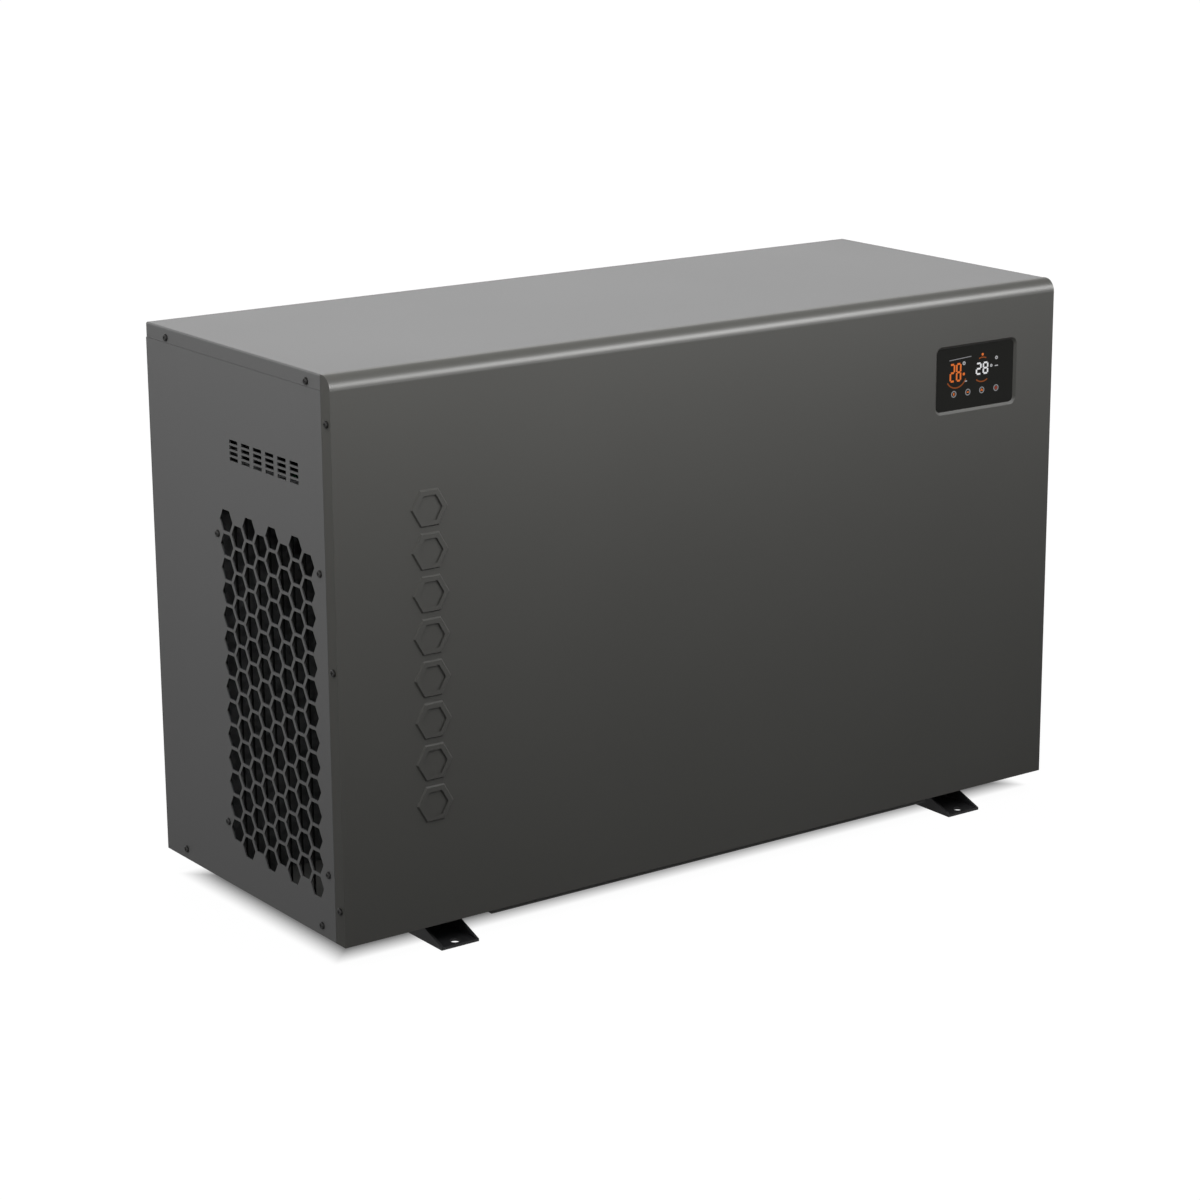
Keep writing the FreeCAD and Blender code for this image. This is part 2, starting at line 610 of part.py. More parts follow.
def together(*parts):
    """Several finished shapes as one group of separate solids."""
    doc.recompute()
    part = doc.addObject("Part::Feature", "Group")
    part.Shape = Part.makeCompound([solid for piece in parts for solid in piece.Shape.Solids])
    return part


def pipe_solid(points, radius, bend):
    """A bar along straight runs joined by arcs of one radius, tangent to both runs."""
    edges = []
    start = points[0]
    for before, corner, after in zip(points, points[1:], points[2:]):
        into = (corner - before).normalize()
        onward = (after - corner).normalize()
        setback = bend * math.tan(into.getAngle(onward) / 2)
        first = corner - into * setback
        last = corner + onward * setback
        inward = (onward - into).normalize()
        centre = corner + inward * math.hypot(bend, setback)
        edges.append(Part.LineSegment(start, first).toShape())
        edges.append(Part.Arc(first, centre - inward * bend, last).toShape())
        start = last
    edges.append(Part.LineSegment(start, points[-1]).toShape())
    path = Part.Wire(edges)
    section = Part.Wire(Part.makeCircle(radius, points[0], points[1] - points[0]))
    return path.makePipeShell([section], True, True)


def pipe(places, radius="pipe_radius", wall="pipe_wall", bend="pipe_bend"):
    """A bent tube through named places."""
    points = [point_of(place) for place in places]
    outer = pipe_solid(points, amount_of(radius), amount_of(bend))
    inner = pipe_solid(points, amount_of("%s - %s" % (radius, wall)), amount_of(bend))
    part = doc.addObject("Part::Feature", "Pipe")
    part.Shape = outer.cut(inner)
    return part


def screw_holes(axis, places, low, high):
    """Bars that cut screw holes through a panel."""
    bore = "screw_shank + screw_play"
    return [cylinder(axis, place, bore, low, high) for place in places]


def side_cover_screws():
    """Screws of the cover's side flange, as distances along Y and Z."""
    rise = "%s - cover_screw_drop" % TOP
    return [("%s + cover_screw_inset" % FRONT, rise), ("%s - cover_screw_inset" % BACK, rise)]


def side_pan_screws():
    rise = "foot_height + pan_screw_rise"
    return [("%s + cover_screw_inset" % FRONT, rise), ("%s - cover_screw_inset" % BACK, rise)]


def side_flange_screws():
    low = "foot_height + flange_screw_low"
    high = "%s - flange_screw_high" % TOP
    depth = "%s + flange_screw_inset" % FRONT
    return [(depth, low), (depth, "(%s + %s) / 2" % (low, high)), (depth, high)]


def side_return_screws():
    """Screws of the rear panel into the side panels' rear flanges, as X and Z on the right."""
    across = "(%s - rear_screw_inset)" % RIGHT
    low = "foot_height + rear_screw_low"
    high = "%s - rear_screw_low" % TOP
    return [(across, low), (across, "(%s + %s) / 2" % (low, high)), (across, high)]


def rear_edge_screws(rise):
    count = count_of("rear_edge_screws")
    return [("%s * rear_edge_pitch" % (index - (count - 1) / 2), rise) for index in range(count)]


def rear_cover_screws():
    return rear_edge_screws("%s - cover_screw_drop" % TOP)


def rear_pan_screws():
    return rear_edge_screws("foot_height + pan_screw_rise")


def guard_screws():
    """The four screws round the left grille, as Y and Z."""
    fore = "%s + guard_screw_front" % FRONT
    low = "foot_height + guard_screw_low"
    high = "min(%s + guard_screw_rise; %s - outlet_headroom + hex_flats)" % (low, TOP)
    return [(y, z) for y in (fore, "%s + guard_screw_span" % fore) for z in (low, high)]


def hex_punches(axis, centre, columns, rows, low, high):
    """Staggered hexagonal punches through a panel; the first column is a low one."""
    flats = amount_of("hex_flats")
    across_pitch = amount_of("hex_column_pitch")
    up_pitch = amount_of("hex_row_pitch")
    start, end = amount_of(low), amount_of(high)
    middle, bottom = amount_of(centre[0]), amount_of(centre[1])
    punches = []
    for column in range(columns):
        across = middle + (column - (columns - 1) / 2) * across_pitch
        for row in range(rows):
            up = bottom + (row + (column % 2) / 2) * up_pitch
            corners = []
            for step in range(7):
                angle = math.radians(60 * step)
                u = across + flats / math.sqrt(3) * math.cos(angle)
                v = up + flats / math.sqrt(3) * math.sin(angle)
                corners.append(FreeCAD.Vector(start, u, v) if axis == "x" else FreeCAD.Vector(u, start, v))
            face = Part.Face(Part.makePolygon(corners))
            travel = FreeCAD.Vector(end - start, 0, 0) if axis == "x" else FreeCAD.Vector(0, end - start, 0)
            punches.append(face.extrude(travel))
    part = doc.addObject("Part::Feature", "Punches")
    part.Shape = Part.makeCompound(punches)
    return part


def slot_punches(low, high):
    """The block of short ventilation slots near the top of a side panel."""
    punches = []
    columns = count_of("slot_columns")
    rows = count_of("slot_rows")
    for column in range(columns):
        middle = "%s + outlet_centre + %s * slot_column_pitch" % (FRONT, column - (columns - 1) / 2)
        for row in range(rows):
            up = "%s - slot_drop + %s * slot_row_pitch" % (TOP, row - (rows - 1) / 2)
            y = ("%s - slot_length / 2" % middle, "%s + slot_length / 2" % middle)
            z = ("%s - slot_width / 2" % up, "%s + slot_width / 2" % up)
            punches.append(box((low, high), y, z))
    return punches


def make_base_pan():
    """The floor tray: an upstand all round, and a middle that hangs below the two ends."""
    inner_left = "%s + panel_sheet" % LEFT
    inner_right = "%s - panel_sheet" % RIGHT
    rim_top = "foot_height + pan_rim"
    high = PAN_HIGH
    low = PAN_LOW
    under = "(foot_height - pan_step)"
    profile = [
        (inner_left, "foot_height"), ("-%s - pan_sheet" % STEP, "foot_height"),
        ("-%s - pan_sheet" % STEP, under), ("%s + pan_sheet" % STEP, under),
        ("%s + pan_sheet" % STEP, "foot_height"), (inner_right, "foot_height"),
        (inner_right, rim_top), ("%s - pan_sheet" % inner_right, rim_top),
        ("%s - pan_sheet" % inner_right, high), (STEP, high), (STEP, low),
        ("-%s" % STEP, low), ("-%s" % STEP, high), ("%s + pan_sheet" % inner_left, high),
        ("%s + pan_sheet" % inner_left, rim_top), (inner_left, rim_top),
    ]
    pan = body()
    front = "%s + panel_sheet" % FRONT
    pad(pan, sketch(pan, "XZ", "-(%s)" % front, profile), "casing_depth - 2 * panel_sheet", True)
    wall = [
        (inner_left, "foot_height"), ("-%s - pan_sheet" % STEP, "foot_height"),
        ("-%s - pan_sheet" % STEP, under), ("%s + pan_sheet" % STEP, under),
        ("%s + pan_sheet" % STEP, "foot_height"), (inner_right, "foot_height"),
        (inner_right, rim_top), (inner_left, rim_top),
    ]
    for offset in ("-(%s)" % front, "-(%s - panel_sheet - pan_sheet)" % BACK):
        pad(pan, sketch(pan, "XZ", offset, wall), "pan_sheet", True)
    holes = screw_holes("x", side_pan_screws(), LEFT, RIGHT)
    holes += screw_holes("y", rear_pan_screws(), "%s - drill_depth" % BACK, BACK)
    for x, y in foot_screws():
        holes.append(cylinder("z", (x, y), "bolt_radius + bolt_play", "foot_height - 1", "%s + 1" % PAN_HIGH))
    drain = "drain_radius + seam_gap"
    holes.append(cylinder("z", (FAN_X, COIL_FRONT), drain, "foot_height - 9", "foot_height + 1"))
    keep(cut(pan, *holes), "base_pan")


def foot_screws():
    """Where the feet are screwed to the pan, as X and Y."""
    reach = "(foot_width / 2 + foot_ear / 2)"
    places = []
    for side in ("-", ""):
        for way in ("-", "+"):
            x = "%s%s %s %s" % (side, FOOT, way, reach)
            places += [(x, "-foot_bolt_inset"), (x, "foot_bolt_inset")]
    return places


def make_foot(label, side):
    """A channel with ears at its top and slanted ends; each tip has a ground bolt hole."""
    middle = "%s%s" % (side, FOOT)
    half = "foot_width / 2"
    skin = "foot_sheet"
    ear_low = "foot_height - foot_sheet"
    right = [
        ("%s + %s" % (middle, half), "0"), ("%s + %s" % (middle, half), ear_low),
        ("%s + %s + foot_ear" % (middle, half), ear_low),
        ("%s + %s + foot_ear" % (middle, half), "foot_height"),
        ("%s + %s - %s" % (middle, half, skin), "foot_height"), ("%s + %s - %s" % (middle, half, skin), skin),
    ]
    left = [
        ("%s - %s + %s" % (middle, half, skin), skin),
        ("%s - %s + %s" % (middle, half, skin), "foot_height"),
        ("%s - %s - foot_ear" % (middle, half), "foot_height"),
        ("%s - %s - foot_ear" % (middle, half), ear_low),
        ("%s - %s" % (middle, half), ear_low), ("%s - %s" % (middle, half), "0"),
    ]
    foot = body()
    tip = "(casing_depth / 2 + foot_overhang)"
    pad(foot, sketch(foot, "XZ", tip, right + left), "2 * %s" % tip, True)
    for way in ("-", ""):
        slope = [
            ("%s(%s + 1)" % (way, tip), skin), ("%s%s" % (way, tip), skin),
            ("%s(%s - foot_slope_run)" % (way, tip), "foot_height"),
            ("%s(%s - foot_slope_run)" % (way, tip), "foot_height + 1"),
            ("%s(%s + 1)" % (way, tip), "foot_height + 1"),
        ]
        start = "%s - %s - foot_ear - 1" % (middle, half)
        pocket(foot, sketch(foot, "YZ", start, slope), "foot_width + 2 * foot_ear + 2", True)
    holes = [("-%s + ground_hole_inset" % tip), ("%s - ground_hole_inset" % tip)]
    circles = [(middle, y, "ground_hole_bore") for y in holes]
    pocket(foot, sketch(foot, "XY", "0", circles=circles), "2 * foot_sheet", True)
    bore = "bolt_radius + bolt_play"
    screws = [(x, y, bore) for x, y in foot_screws() if (x[0] == "-") == (side == "-")]
    pocket(foot, sketch(foot, "XY", "foot_height + 1", circles=screws), "2 * foot_sheet")
    keep(foot, label)


def make_foot_bolts():
    """Hexagon screws up through the feet and the pan, each with a nut inside."""
    bolt = body()
    pad(bolt, sketch(bolt, "XY", "0", hexagon(("0", "0"), "bolt_flats")), "bolt_head", True)
    pad(bolt, sketch(bolt, "XY", "0", circles=[("0", "0", "bolt_radius")]), "foot_bolt_length")
    nut = body()
    bore = ("0", "0", "bolt_radius + bolt_play / 2")
    ring = sketch(nut, "XY", "0", hexagon(("0", "0"), "bolt_flats"), circles=[bore])
    pad(nut, ring, "bolt_nut")
    low = [("z", (x, y, "foot_height - foot_sheet")) for x, y in foot_screws()]
    high = [("z", (x, y, PAN_HIGH)) for x, y in foot_screws()]
    keep(together(group(bolt, low), group(nut, high)), "foot_bolts")


def make_front_panel():
    """One formed sheet: a flat face, a rounded top edge that runs on to the cover's seam, and closed
    side flanges. The display opening has a sloped, drawn rim; a column of raised hexagons is its ornament."""
    t = "panel_sheet"
    section = [
        (FRONT, "foot_height"), ("%s + %s" % (FRONT, t), "foot_height"),
        ("%s + %s" % (FRONT, t), "%s - top_round" % TOP, "-(top_round - panel_sheet)"),
        ("%s + top_round" % FRONT, "%s - %s" % (TOP, t)), ("%s - %s" % (SEAM, t), "%s - %s" % (TOP, t)),
        ("%s - %s" % (SEAM, t), "%s - 2 * %s" % (TOP, t)), ("%s + seam_lip" % SEAM, "%s - 2 * %s" % (TOP, t)),
        ("%s + seam_lip" % SEAM, "%s - %s" % (TOP, t)), (SEAM, "%s - %s" % (TOP, t)), (SEAM, TOP),
        ("%s + top_round" % FRONT, TOP, "top_round"), (FRONT, "%s - top_round" % TOP),
    ]
    end = [
        (FRONT, "foot_height"), (SEAM, "foot_height"), (SEAM, TOP),
        ("%s + top_round" % FRONT, TOP, "top_round"), (FRONT, "%s - top_round" % TOP),
    ]
    panel = body()
    inside = "%s + %s" % (LEFT, t)
    pad(panel, sketch(panel, "YZ", inside, section), "casing_width - 2 * panel_sheet")
    for offset in (LEFT, "%s - %s" % (RIGHT, t)):
        pad(panel, sketch(panel, "YZ", offset, end), t)
    middle = ("%s - display_inset" % RIGHT, "%s - display_drop" % TOP)
    rim = rounded(middle, "display_width + display_rim", "display_height + display_rim",
                  "display_round + display_rim / 2")
    pad(panel, sketch(panel, "XZ", "-(%s + %s)" % (FRONT, t), rim), "display_rim_depth", True)
    hole = rounded(middle, "display_width", "display_height", "display_round")
    depth = "%s + display_rim_depth" % t
    pocket(panel, sketch(panel, "XZ", "-%s" % FRONT, hole), depth, slope="-display_taper")
    for index in range(count_of("ornament_count")):
        centre = ("%s + ornament_inset" % LEFT, "foot_height + ornament_low + %d * ornament_pitch" % index)
        outer = hexagon(centre, "ornament_flats")
        inner = hexagon(centre, "ornament_flats - 2 * ornament_line")
        raised = sketch(panel, "XZ", "-%s" % FRONT, outer, inner)
        pad(panel, raised, "ornament_height", slope="-ornament_slope")
    keep(cut(panel, *screw_holes("x", side_flange_screws(), LEFT, RIGHT)), "front_panel")


def side_panel(side):
    """A side panel without its air openings: the outer sheet, the lips behind the seams to cover and
    front panel, and an inward flange at the back."""
    def across(near, far):
        return (LEFT + near, LEFT + far) if side == "left" else (RIGHT + far.replace("+", "-"),
                                                                 RIGHT + near.replace("+", "-"))
    sheet_x = across(" + 0", " + panel_sheet")
    lip_x = across(" + panel_sheet", " + 2 * panel_sheet")
    flange_x = across(" + 0", " + rear_return")
    fore = "%s + seam_gap" % SEAM
    aft = "%s - panel_sheet" % BACK
    crest = "%s - cover_flange" % TOP
    lip_top = INNER_TOP
    lip_low = "foot_height + pan_rim + seam_gap"
    hidden = "%s + panel_sheet + seam_gap" % FRONT
    parts = [
        box(sheet_x, (fore, aft), ("foot_height", crest)),
        box(lip_x, (hidden, "%s + seam_lip" % SEAM), (lip_low, "%s - top_round" % lip_top)),
        box(lip_x, ("%s + seam_lip" % SEAM, aft), ("%s - seam_lip" % crest, lip_top)),
        box(lip_x, (fore, "%s + seam_lip" % SEAM), ("%s - top_round - 1" % lip_top, lip_top)),
        box(flange_x, ("%s - panel_sheet" % aft, aft), (lip_low, crest)),
    ]
    holes = screw_holes("x", side_pan_screws() + side_cover_screws() + side_flange_screws(), *flange_x)
    back = [("%s%s" % ("-" if side == "left" else "", x), z) for x, z in side_return_screws()]
    holes += screw_holes("y", back, "%s - drill_depth" % BACK, BACK)
    return fuse(*parts), holes


def make_side_panels():
    """Both side panels have ventilation slots; the left one has the air outlet's hexagons as well."""
    panel, holes = side_panel("left")
    through = (LEFT, "%s + panel_sheet" % LEFT)
    rows = count_of("(casing_height - outlet_headroom - outlet_low - hex_row_pitch / 2) / hex_row_pitch + 1")
    centre = ("%s + outlet_centre" % FRONT, "foot_height + outlet_low")
    punches = hex_punches("x", centre, count_of("outlet_columns"), rows, *through)
    holes += screw_holes("x", guard_screws(), *through)
    keep(cut(cut(panel, *holes, *slot_punches(*through)), punches), "left_panel")
    panel, holes = side_panel("right")
    through = ("%s - panel_sheet" % RIGHT, RIGHT)
    keep(cut(panel, *holes, *slot_punches(*through)), "right_panel")


def make_rear_panel():
    """The rear sheet with the air intake's hexagons and round holes for unions and cable glands."""
    aft = "%s - panel_sheet" % BACK
    crest = "%s - cover_flange" % TOP
    lip_x = ("%s + rear_return + seam_gap" % LEFT, "%s - rear_return - seam_gap" % RIGHT)
    panel = fuse(
        box((LEFT, RIGHT), (aft, BACK), ("foot_height", crest)),
        box(lip_x, ("%s - panel_sheet" % aft, aft), ("%s - seam_lip" % crest, INNER_TOP)),
    )
    returns = [(way + x, z) for x, z in side_return_screws() for way in ("-", "")]
    places = returns + rear_cover_screws() + rear_pan_screws()
    holes = screw_holes("y", places, "%s - drill_depth" % BACK, BACK)
    for rise in ("water_low", "water_high"):
        hole = "water_bore + water_stub_wall + union_play"
        holes.append(cylinder("y", (WATER_X, "foot_height + " + rise), hole, "%s - drill_depth" % BACK, BACK))
    for x, z in gland_places():
        holes.append(cylinder("y", (x, z), "gland_thread + screw_play", "%s - drill_depth" % BACK, BACK))
    width = "%s - %s - 2 * intake_margin - 2 * hex_flats / sqrt(3)" % (PARTITION, LEFT)
    columns = count_of("(%s) / hex_column_pitch + 1" % width)
    rows = count_of("(casing_height - intake_headroom - intake_low - hex_row_pitch / 2) / hex_row_pitch + 1")
    centre = ("(%s + %s) / 2" % (LEFT, PARTITION), "foot_height + intake_low")
    punches = hex_punches("y", centre, columns, rows, aft, BACK)
    keep(cut(cut(panel, *holes), punches), "rear_panel")


def gland_places():
    x = "%s - gland_inset" % RIGHT
    high = "%s - gland_drop" % TOP
    return [(x, high), (x, "%s - gland_pitch" % high)]


def make_top_cover():
    """A flat sheet with flanges turned down over both sides and the back."""
    cover = body()
    fore = "%s + seam_gap" % SEAM
    crest = "%s - cover_flange + seam_gap" % TOP
    outer = rectangle((LEFT, RIGHT), (fore, BACK))
    block = pad(cover, sketch(cover, "XY", crest, outer), "cover_flange - seam_gap")
    doc.recompute()
    limits = block.Shape.BoundBox
    folds = []
    for index, edge in enumerate(block.Shape.Edges, 1):
        spot = edge.CenterOfMass
        along_top = spot.z > limits.ZMax - 0.1 and spot.y > limits.YMin + 0.1
        rear_corner = spot.y > limits.YMax - 0.1 and abs(spot.x) > limits.XMax - 0.1
        if along_top or rear_corner:
            folds.append("Edge%d" % index)
    fillet = cover.newObject("PartDesign::Fillet", "Fillet")
    fillet.Base = (block, folds)
    fillet.setExpression("Radius", bound("edge_round"))
    inner = rectangle(("%s + panel_sheet" % LEFT, "%s - panel_sheet" % RIGHT),
                      ("%s - 1" % fore, "%s - panel_sheet" % BACK))
    pocket(cover, sketch(cover, "XY", crest, inner), "cover_flange - seam_gap - panel_sheet", True)
    holes = screw_holes("x", side_cover_screws(), LEFT, RIGHT)
    holes += screw_holes("y", rear_cover_screws(), "%s - drill_depth" % BACK, BACK)
    keep(cut(cover, *holes), "top_cover")


def screw_pattern():
    """A pan-head screw with a crossed recess, its head upwards and its seat at the origin."""
    screw = body()
    turn(screw, "Revolution", [
        ("0", "-screw_length"), ("screw_shank", "-screw_length"), ("screw_shank", "0"), ("screw_head", "0"),
        ("screw_head", "screw_height - screw_head_round", "screw_head_round"),
        ("screw_head - screw_head_round", "screw_height"), ("0", "screw_height"),
    ])
    along = ("-recess_reach", "recess_reach")
    across = ("-recess_width / 2", "recess_width / 2")
    for arm in (rectangle(along, across), rectangle(across, along)):
        pocket(screw, sketch(screw, "XY", "screw_height", arm), "recess_depth")
    return screw


def make_screws():
    """The screws of the casing and the four round the left grille."""
    screw = screw_pattern()
    places = []
    for y, z in side_cover_screws() + side_pan_screws() + side_flange_screws():
        places += [("-x", (LEFT, y, z)), ("x", (RIGHT, y, z))]
    for x, z in rear_cover_screws() + rear_pan_screws():
        places.append(("y", (x, BACK, z)))
    for x, z in side_return_screws():
        places += [("y", (x, BACK, z)), ("y", ("-" + x, BACK, z))]
    keep(group(screw, places), "casing_screws")
    keep(group(screw, [("-x", (LEFT, y, z)) for y, z in guard_screws()]), "grille_screws")


def make_outlet_guard():
    """A frame screwed behind the left grille, with upright wires welded across it."""
    fore = "%s + seam_lip + seam_gap" % SEAM
    aft = "%s - seam_gap" % BULKHEAD
    low = "foot_height + outlet_low - hex_flats / 2 - guard_low_border"
    high = "%s - outlet_headroom + hex_flats / 2 + guard_high_border" % TOP
    span = "(outlet_columns - 1) / 2 * hex_column_pitch + hex_flats / sqrt(3) + 0.5"
    window_y = ("%s + outlet_centre - (%s)" % (FRONT, span), "%s + outlet_centre + %s" % (FRONT, span))
    window_z = ("%s + guard_low_rail" % low, "%s - guard_high_rail" % high)
    bores = [(y, z, "screw_shank + screw_play") for y, z in guard_screws()]
    frame = body()
    drawing = sketch(frame, "YZ", "%s + panel_sheet" % LEFT, rectangle((fore, aft), (low, high)),
                     rectangle(window_y, window_z), circles=bores)
    pad(frame, drawing, "panel_sheet")
    wires = []
    for index in range(count_of("outlet_columns") - 1):
        column = index - (count_of("outlet_columns") - 2) / 2
        y = "%s + outlet_centre + %s * hex_column_pitch" % (FRONT, column)
        place = ("%s + 2 * panel_sheet + 0.8 * guard_wire" % LEFT, y)
        ends = ("%s + guard_low_weld" % low, "%s - guard_high_weld" % high)
        wires.append(cylinder("z", place, "guard_wire", *ends))
    keep(fuse(frame, *wires), "outlet_guard")


def make_inner_plates():
    """The partition between the rooms and the bulkhead that carries the bell mouth."""
    ahead = "%s + 2 * panel_sheet + seam_gap" % FRONT
    stop = "%s - seam_gap" % COIL_FRONT
    foot = rectangle((PARTITION, "%s + 5" % PARTITION), (ahead, stop))
    outline = [
        (ahead, PAN_LOW), (stop, PAN_LOW), (stop, INNER_TOP), ("%s + top_round" % FRONT, INNER_TOP),
        (ahead, "%s - top_round" % TOP),
    ]
    wall = body()
    pad(wall, sketch(wall, "YZ", PARTITION, outline), "inner_sheet")
    pad(wall, sketch(wall, "XY", PAN_LOW, foot), "inner_sheet")
    keep(wall, "partition_plate")
    near = "%s + 2 * panel_sheet + seam_gap" % LEFT
    outline = [
        (near, PAN_HIGH), ("-%s" % STEP, PAN_HIGH), ("-%s" % STEP, PAN_LOW), (PARTITION, PAN_LOW),
        (PARTITION, INNER_TOP), (near, INNER_TOP),
    ]
    mouth = (FAN_X, FAN_Z, "wheel_eye - mouth_gap - wheel_wall + mouth_round")
    keep(plate("XZ", "-%s" % BULKHEAD, "inner_sheet", outline, [mouth], True), "fan_bulkhead")


def make_bell_mouth():
    """A spun inlet ring that guides air from the coil into the wheel's eye; its flange is on the bulkhead."""
    throat = "(wheel_eye - mouth_gap - wheel_wall)"
    wall = "wheel_wall"
    flange = "%s + mouth_round + mouth_flange" % throat
    curve = "mouth_round"
    ring = turned((FAN_X, BULKHEAD, FAN_Z), "y", [
        (throat, "-inner_sheet - %s" % curve), ("%s + %s" % (throat, wall), "-inner_sheet - %s" % curve,
         "-(%s - %s)" % (curve, wall)),
        ("%s + %s" % (throat, curve), "-inner_sheet - %s" % wall), (flange, "-inner_sheet - %s" % wall),
        (flange, "0"), ("%s + %s" % (throat, curve), "0"),
        ("%s + %s" % (throat, curve), "-inner_sheet", curve),
    ])
    keep(ring, "bell_mouth")


def make_impeller():
    """Back plate with hub, backward-curved blades, and a shroud that narrows to the inlet."""
    wheel = body((FAN_X, WHEEL_BACK, FAN_Z), "y")
    bore = "shaft_radius + wheel_bore_play"
    turn(wheel, "Revolution", [
        (bore, "0"), (WHEEL, "0"), (WHEEL, "wheel_wall"), ("hub_radius", "wheel_wall"),
        ("hub_radius", "hub_length"), (bore, "hub_length"),
    ])
    tip = "%s - 1" % WHEEL
    blade = [
        ("blade_root", "0", "blade_curve"),
        ("(%s) * cos(blade_sweep)" % tip, "(%s) * sin(blade_sweep)" % tip),
        ("(%s) * cos(blade_sweep + blade_angle)" % tip, "(%s) * sin(blade_sweep + blade_angle)" % tip,
         "-blade_curve"),
        ("blade_root * cos(blade_angle)", "blade_root * sin(blade_angle)"),
    ]
    first = pad(wheel, sketch(wheel, "XY", "wheel_wall / 2", blade), "wheel_depth - wheel_wall / 2")
    ring = wheel.newObject("PartDesign::PolarPattern", "Blades")
    ring.Originals = [first]
    axis = [feature for feature in wheel.Origin.OriginFeatures if feature.Role == "Z_Axis"]
    ring.Axis = (axis[0], [""])
    ring.Angle = 360
    ring.setExpression("Occurrences", bound("wheel_blades"))
    wheel.Tip = ring
    turn(wheel, "Groove", [
        ("wheel_eye - 20", "wheel_depth + 1"), ("wheel_eye - 20", "wheel_depth - 20"),
        ("wheel_eye - wheel_wall", "wheel_depth - 15"), (WHEEL, "wheel_rim_depth - wheel_wall / 2"),
        ("%s + 1" % WHEEL, "wheel_depth + 1"),
    ])
    turn(wheel, "Revolution", [
        ("wheel_eye - wheel_wall", "wheel_depth - 14"), ("wheel_eye", "wheel_depth - 16"),
        (WHEEL, "wheel_rim_depth - wheel_wall"), (WHEEL, "wheel_rim_depth"),
        ("wheel_eye + 4", "wheel_depth - 14"), ("wheel_eye", "wheel_depth - 8"), ("wheel_eye", "wheel_depth"),
        ("wheel_eye - wheel_wall", "wheel_depth"),
    ])
    keep(wheel, "fan_impeller")


def make_fan_drive():
    """Motor on its bracket, the shaft that turns in it, and the nut that holds the wheel."""
    back = "%s - motor_gap" % WHEEL_BACK
    bore = "shaft_radius + shaft_play"
    length = "(%s - %s)" % (back, MOTOR_FACE)
    motor = turned((FAN_X, MOTOR_FACE, FAN_Z), "y", [
        (bore, "0"), ("motor_radius", "0"), ("motor_radius", "%s - motor_round" % length, "motor_round"),
        ("motor_radius - motor_round", length), (bore, length),
    ])
    keep(motor, "fan_motor")
    tip = "%s + hub_length + shaft_tip" % WHEEL_BACK
    keep(cylinder("y", (FAN_X, FAN_Z), "shaft_radius", "%s + 4" % MOTOR_FACE, tip), "fan_shaft")
    nut = body((FAN_X, "%s + hub_length" % WHEEL_BACK, FAN_Z), "y")
    bore = ("0", "0", "shaft_radius + wheel_bore_play")
    pad(nut, sketch(nut, "XY", "0", hexagon(("0", "0"), "fan_nut_flats"), circles=[bore]), "fan_nut_height")
    keep(nut, "fan_nut")
    half = "bracket_width / 2"
    low = (("%s - %s" % (FAN_X, half)), ("%s + %s" % (FAN_X, half)))
    top = "%s + motor_radius + bracket_crown" % FAN_Z
    upright = rectangle(low, (PAN_LOW, top))
    holes = [(x, z, "bolt_radius + bolt_play") for x, z in motor_bolt_places()]
    bracket = body()
    ahead = "-(%s - bracket_sheet)" % MOTOR_FACE
    pad(bracket, sketch(bracket, "XZ", ahead, upright, circles=holes), "bracket_sheet", True)
    sole = rectangle(low, (MOTOR_FACE, "%s + bracket_sole" % MOTOR_FACE))
    pad(bracket, sketch(bracket, "XY", PAN_LOW, sole), "bracket_sheet")
    for x in (low[0], "%s - bracket_sheet" % low[1]):
        web = [(MOTOR_FACE, PAN_LOW), ("%s + bracket_sole" % MOTOR_FACE, PAN_LOW),
               ("%s + bracket_web" % MOTOR_FACE, top), (MOTOR_FACE, top)]
        pad(bracket, sketch(bracket, "YZ", x, web), "bracket_sheet")
    keep(bracket, "fan_motor_bracket")
    bolt = body()
    pad(bolt, sketch(bolt, "XY", "0", hexagon(("0", "0"), "bolt_flats")), "bolt_head")
    places = [("-y", (x, "%s - bracket_sheet" % MOTOR_FACE, z)) for x, z in motor_bolt_places()]
    pad(bolt, sketch(bolt, "XY", "0", circles=[("0", "0", "bolt_radius")]), "bracket_sheet", True)
    keep(group(bolt, places), "fan_motor_bolts")


def motor_bolt_places():
    """Four bolts on a square round the motor's axis, as X and Z."""
    reach = "motor_bolt_share * motor_radius"
    return [("%s %s %s" % (FAN_X, a, reach), "%s %s %s" % (FAN_Z, b, reach)) for a in "+-" for b in "+-"]


def coil_tube_count():
    """Tubes in one row; always an even number, because each hairpin has two legs."""
    return 2 * count_of("(casing_height - coil_lift - coil_headroom) / tube_pitch / 2")


def coil_leg(row, index):
    """A coil tube's Y and Z; the second row is half a pitch higher."""
    y = "(%s + %s * row_pitch)" % (COIL_FRONT, row + 0.5)
    z = "(%s + %s * tube_pitch)" % (COIL_BASE, index + 0.5 + row / 2)
    return y, z


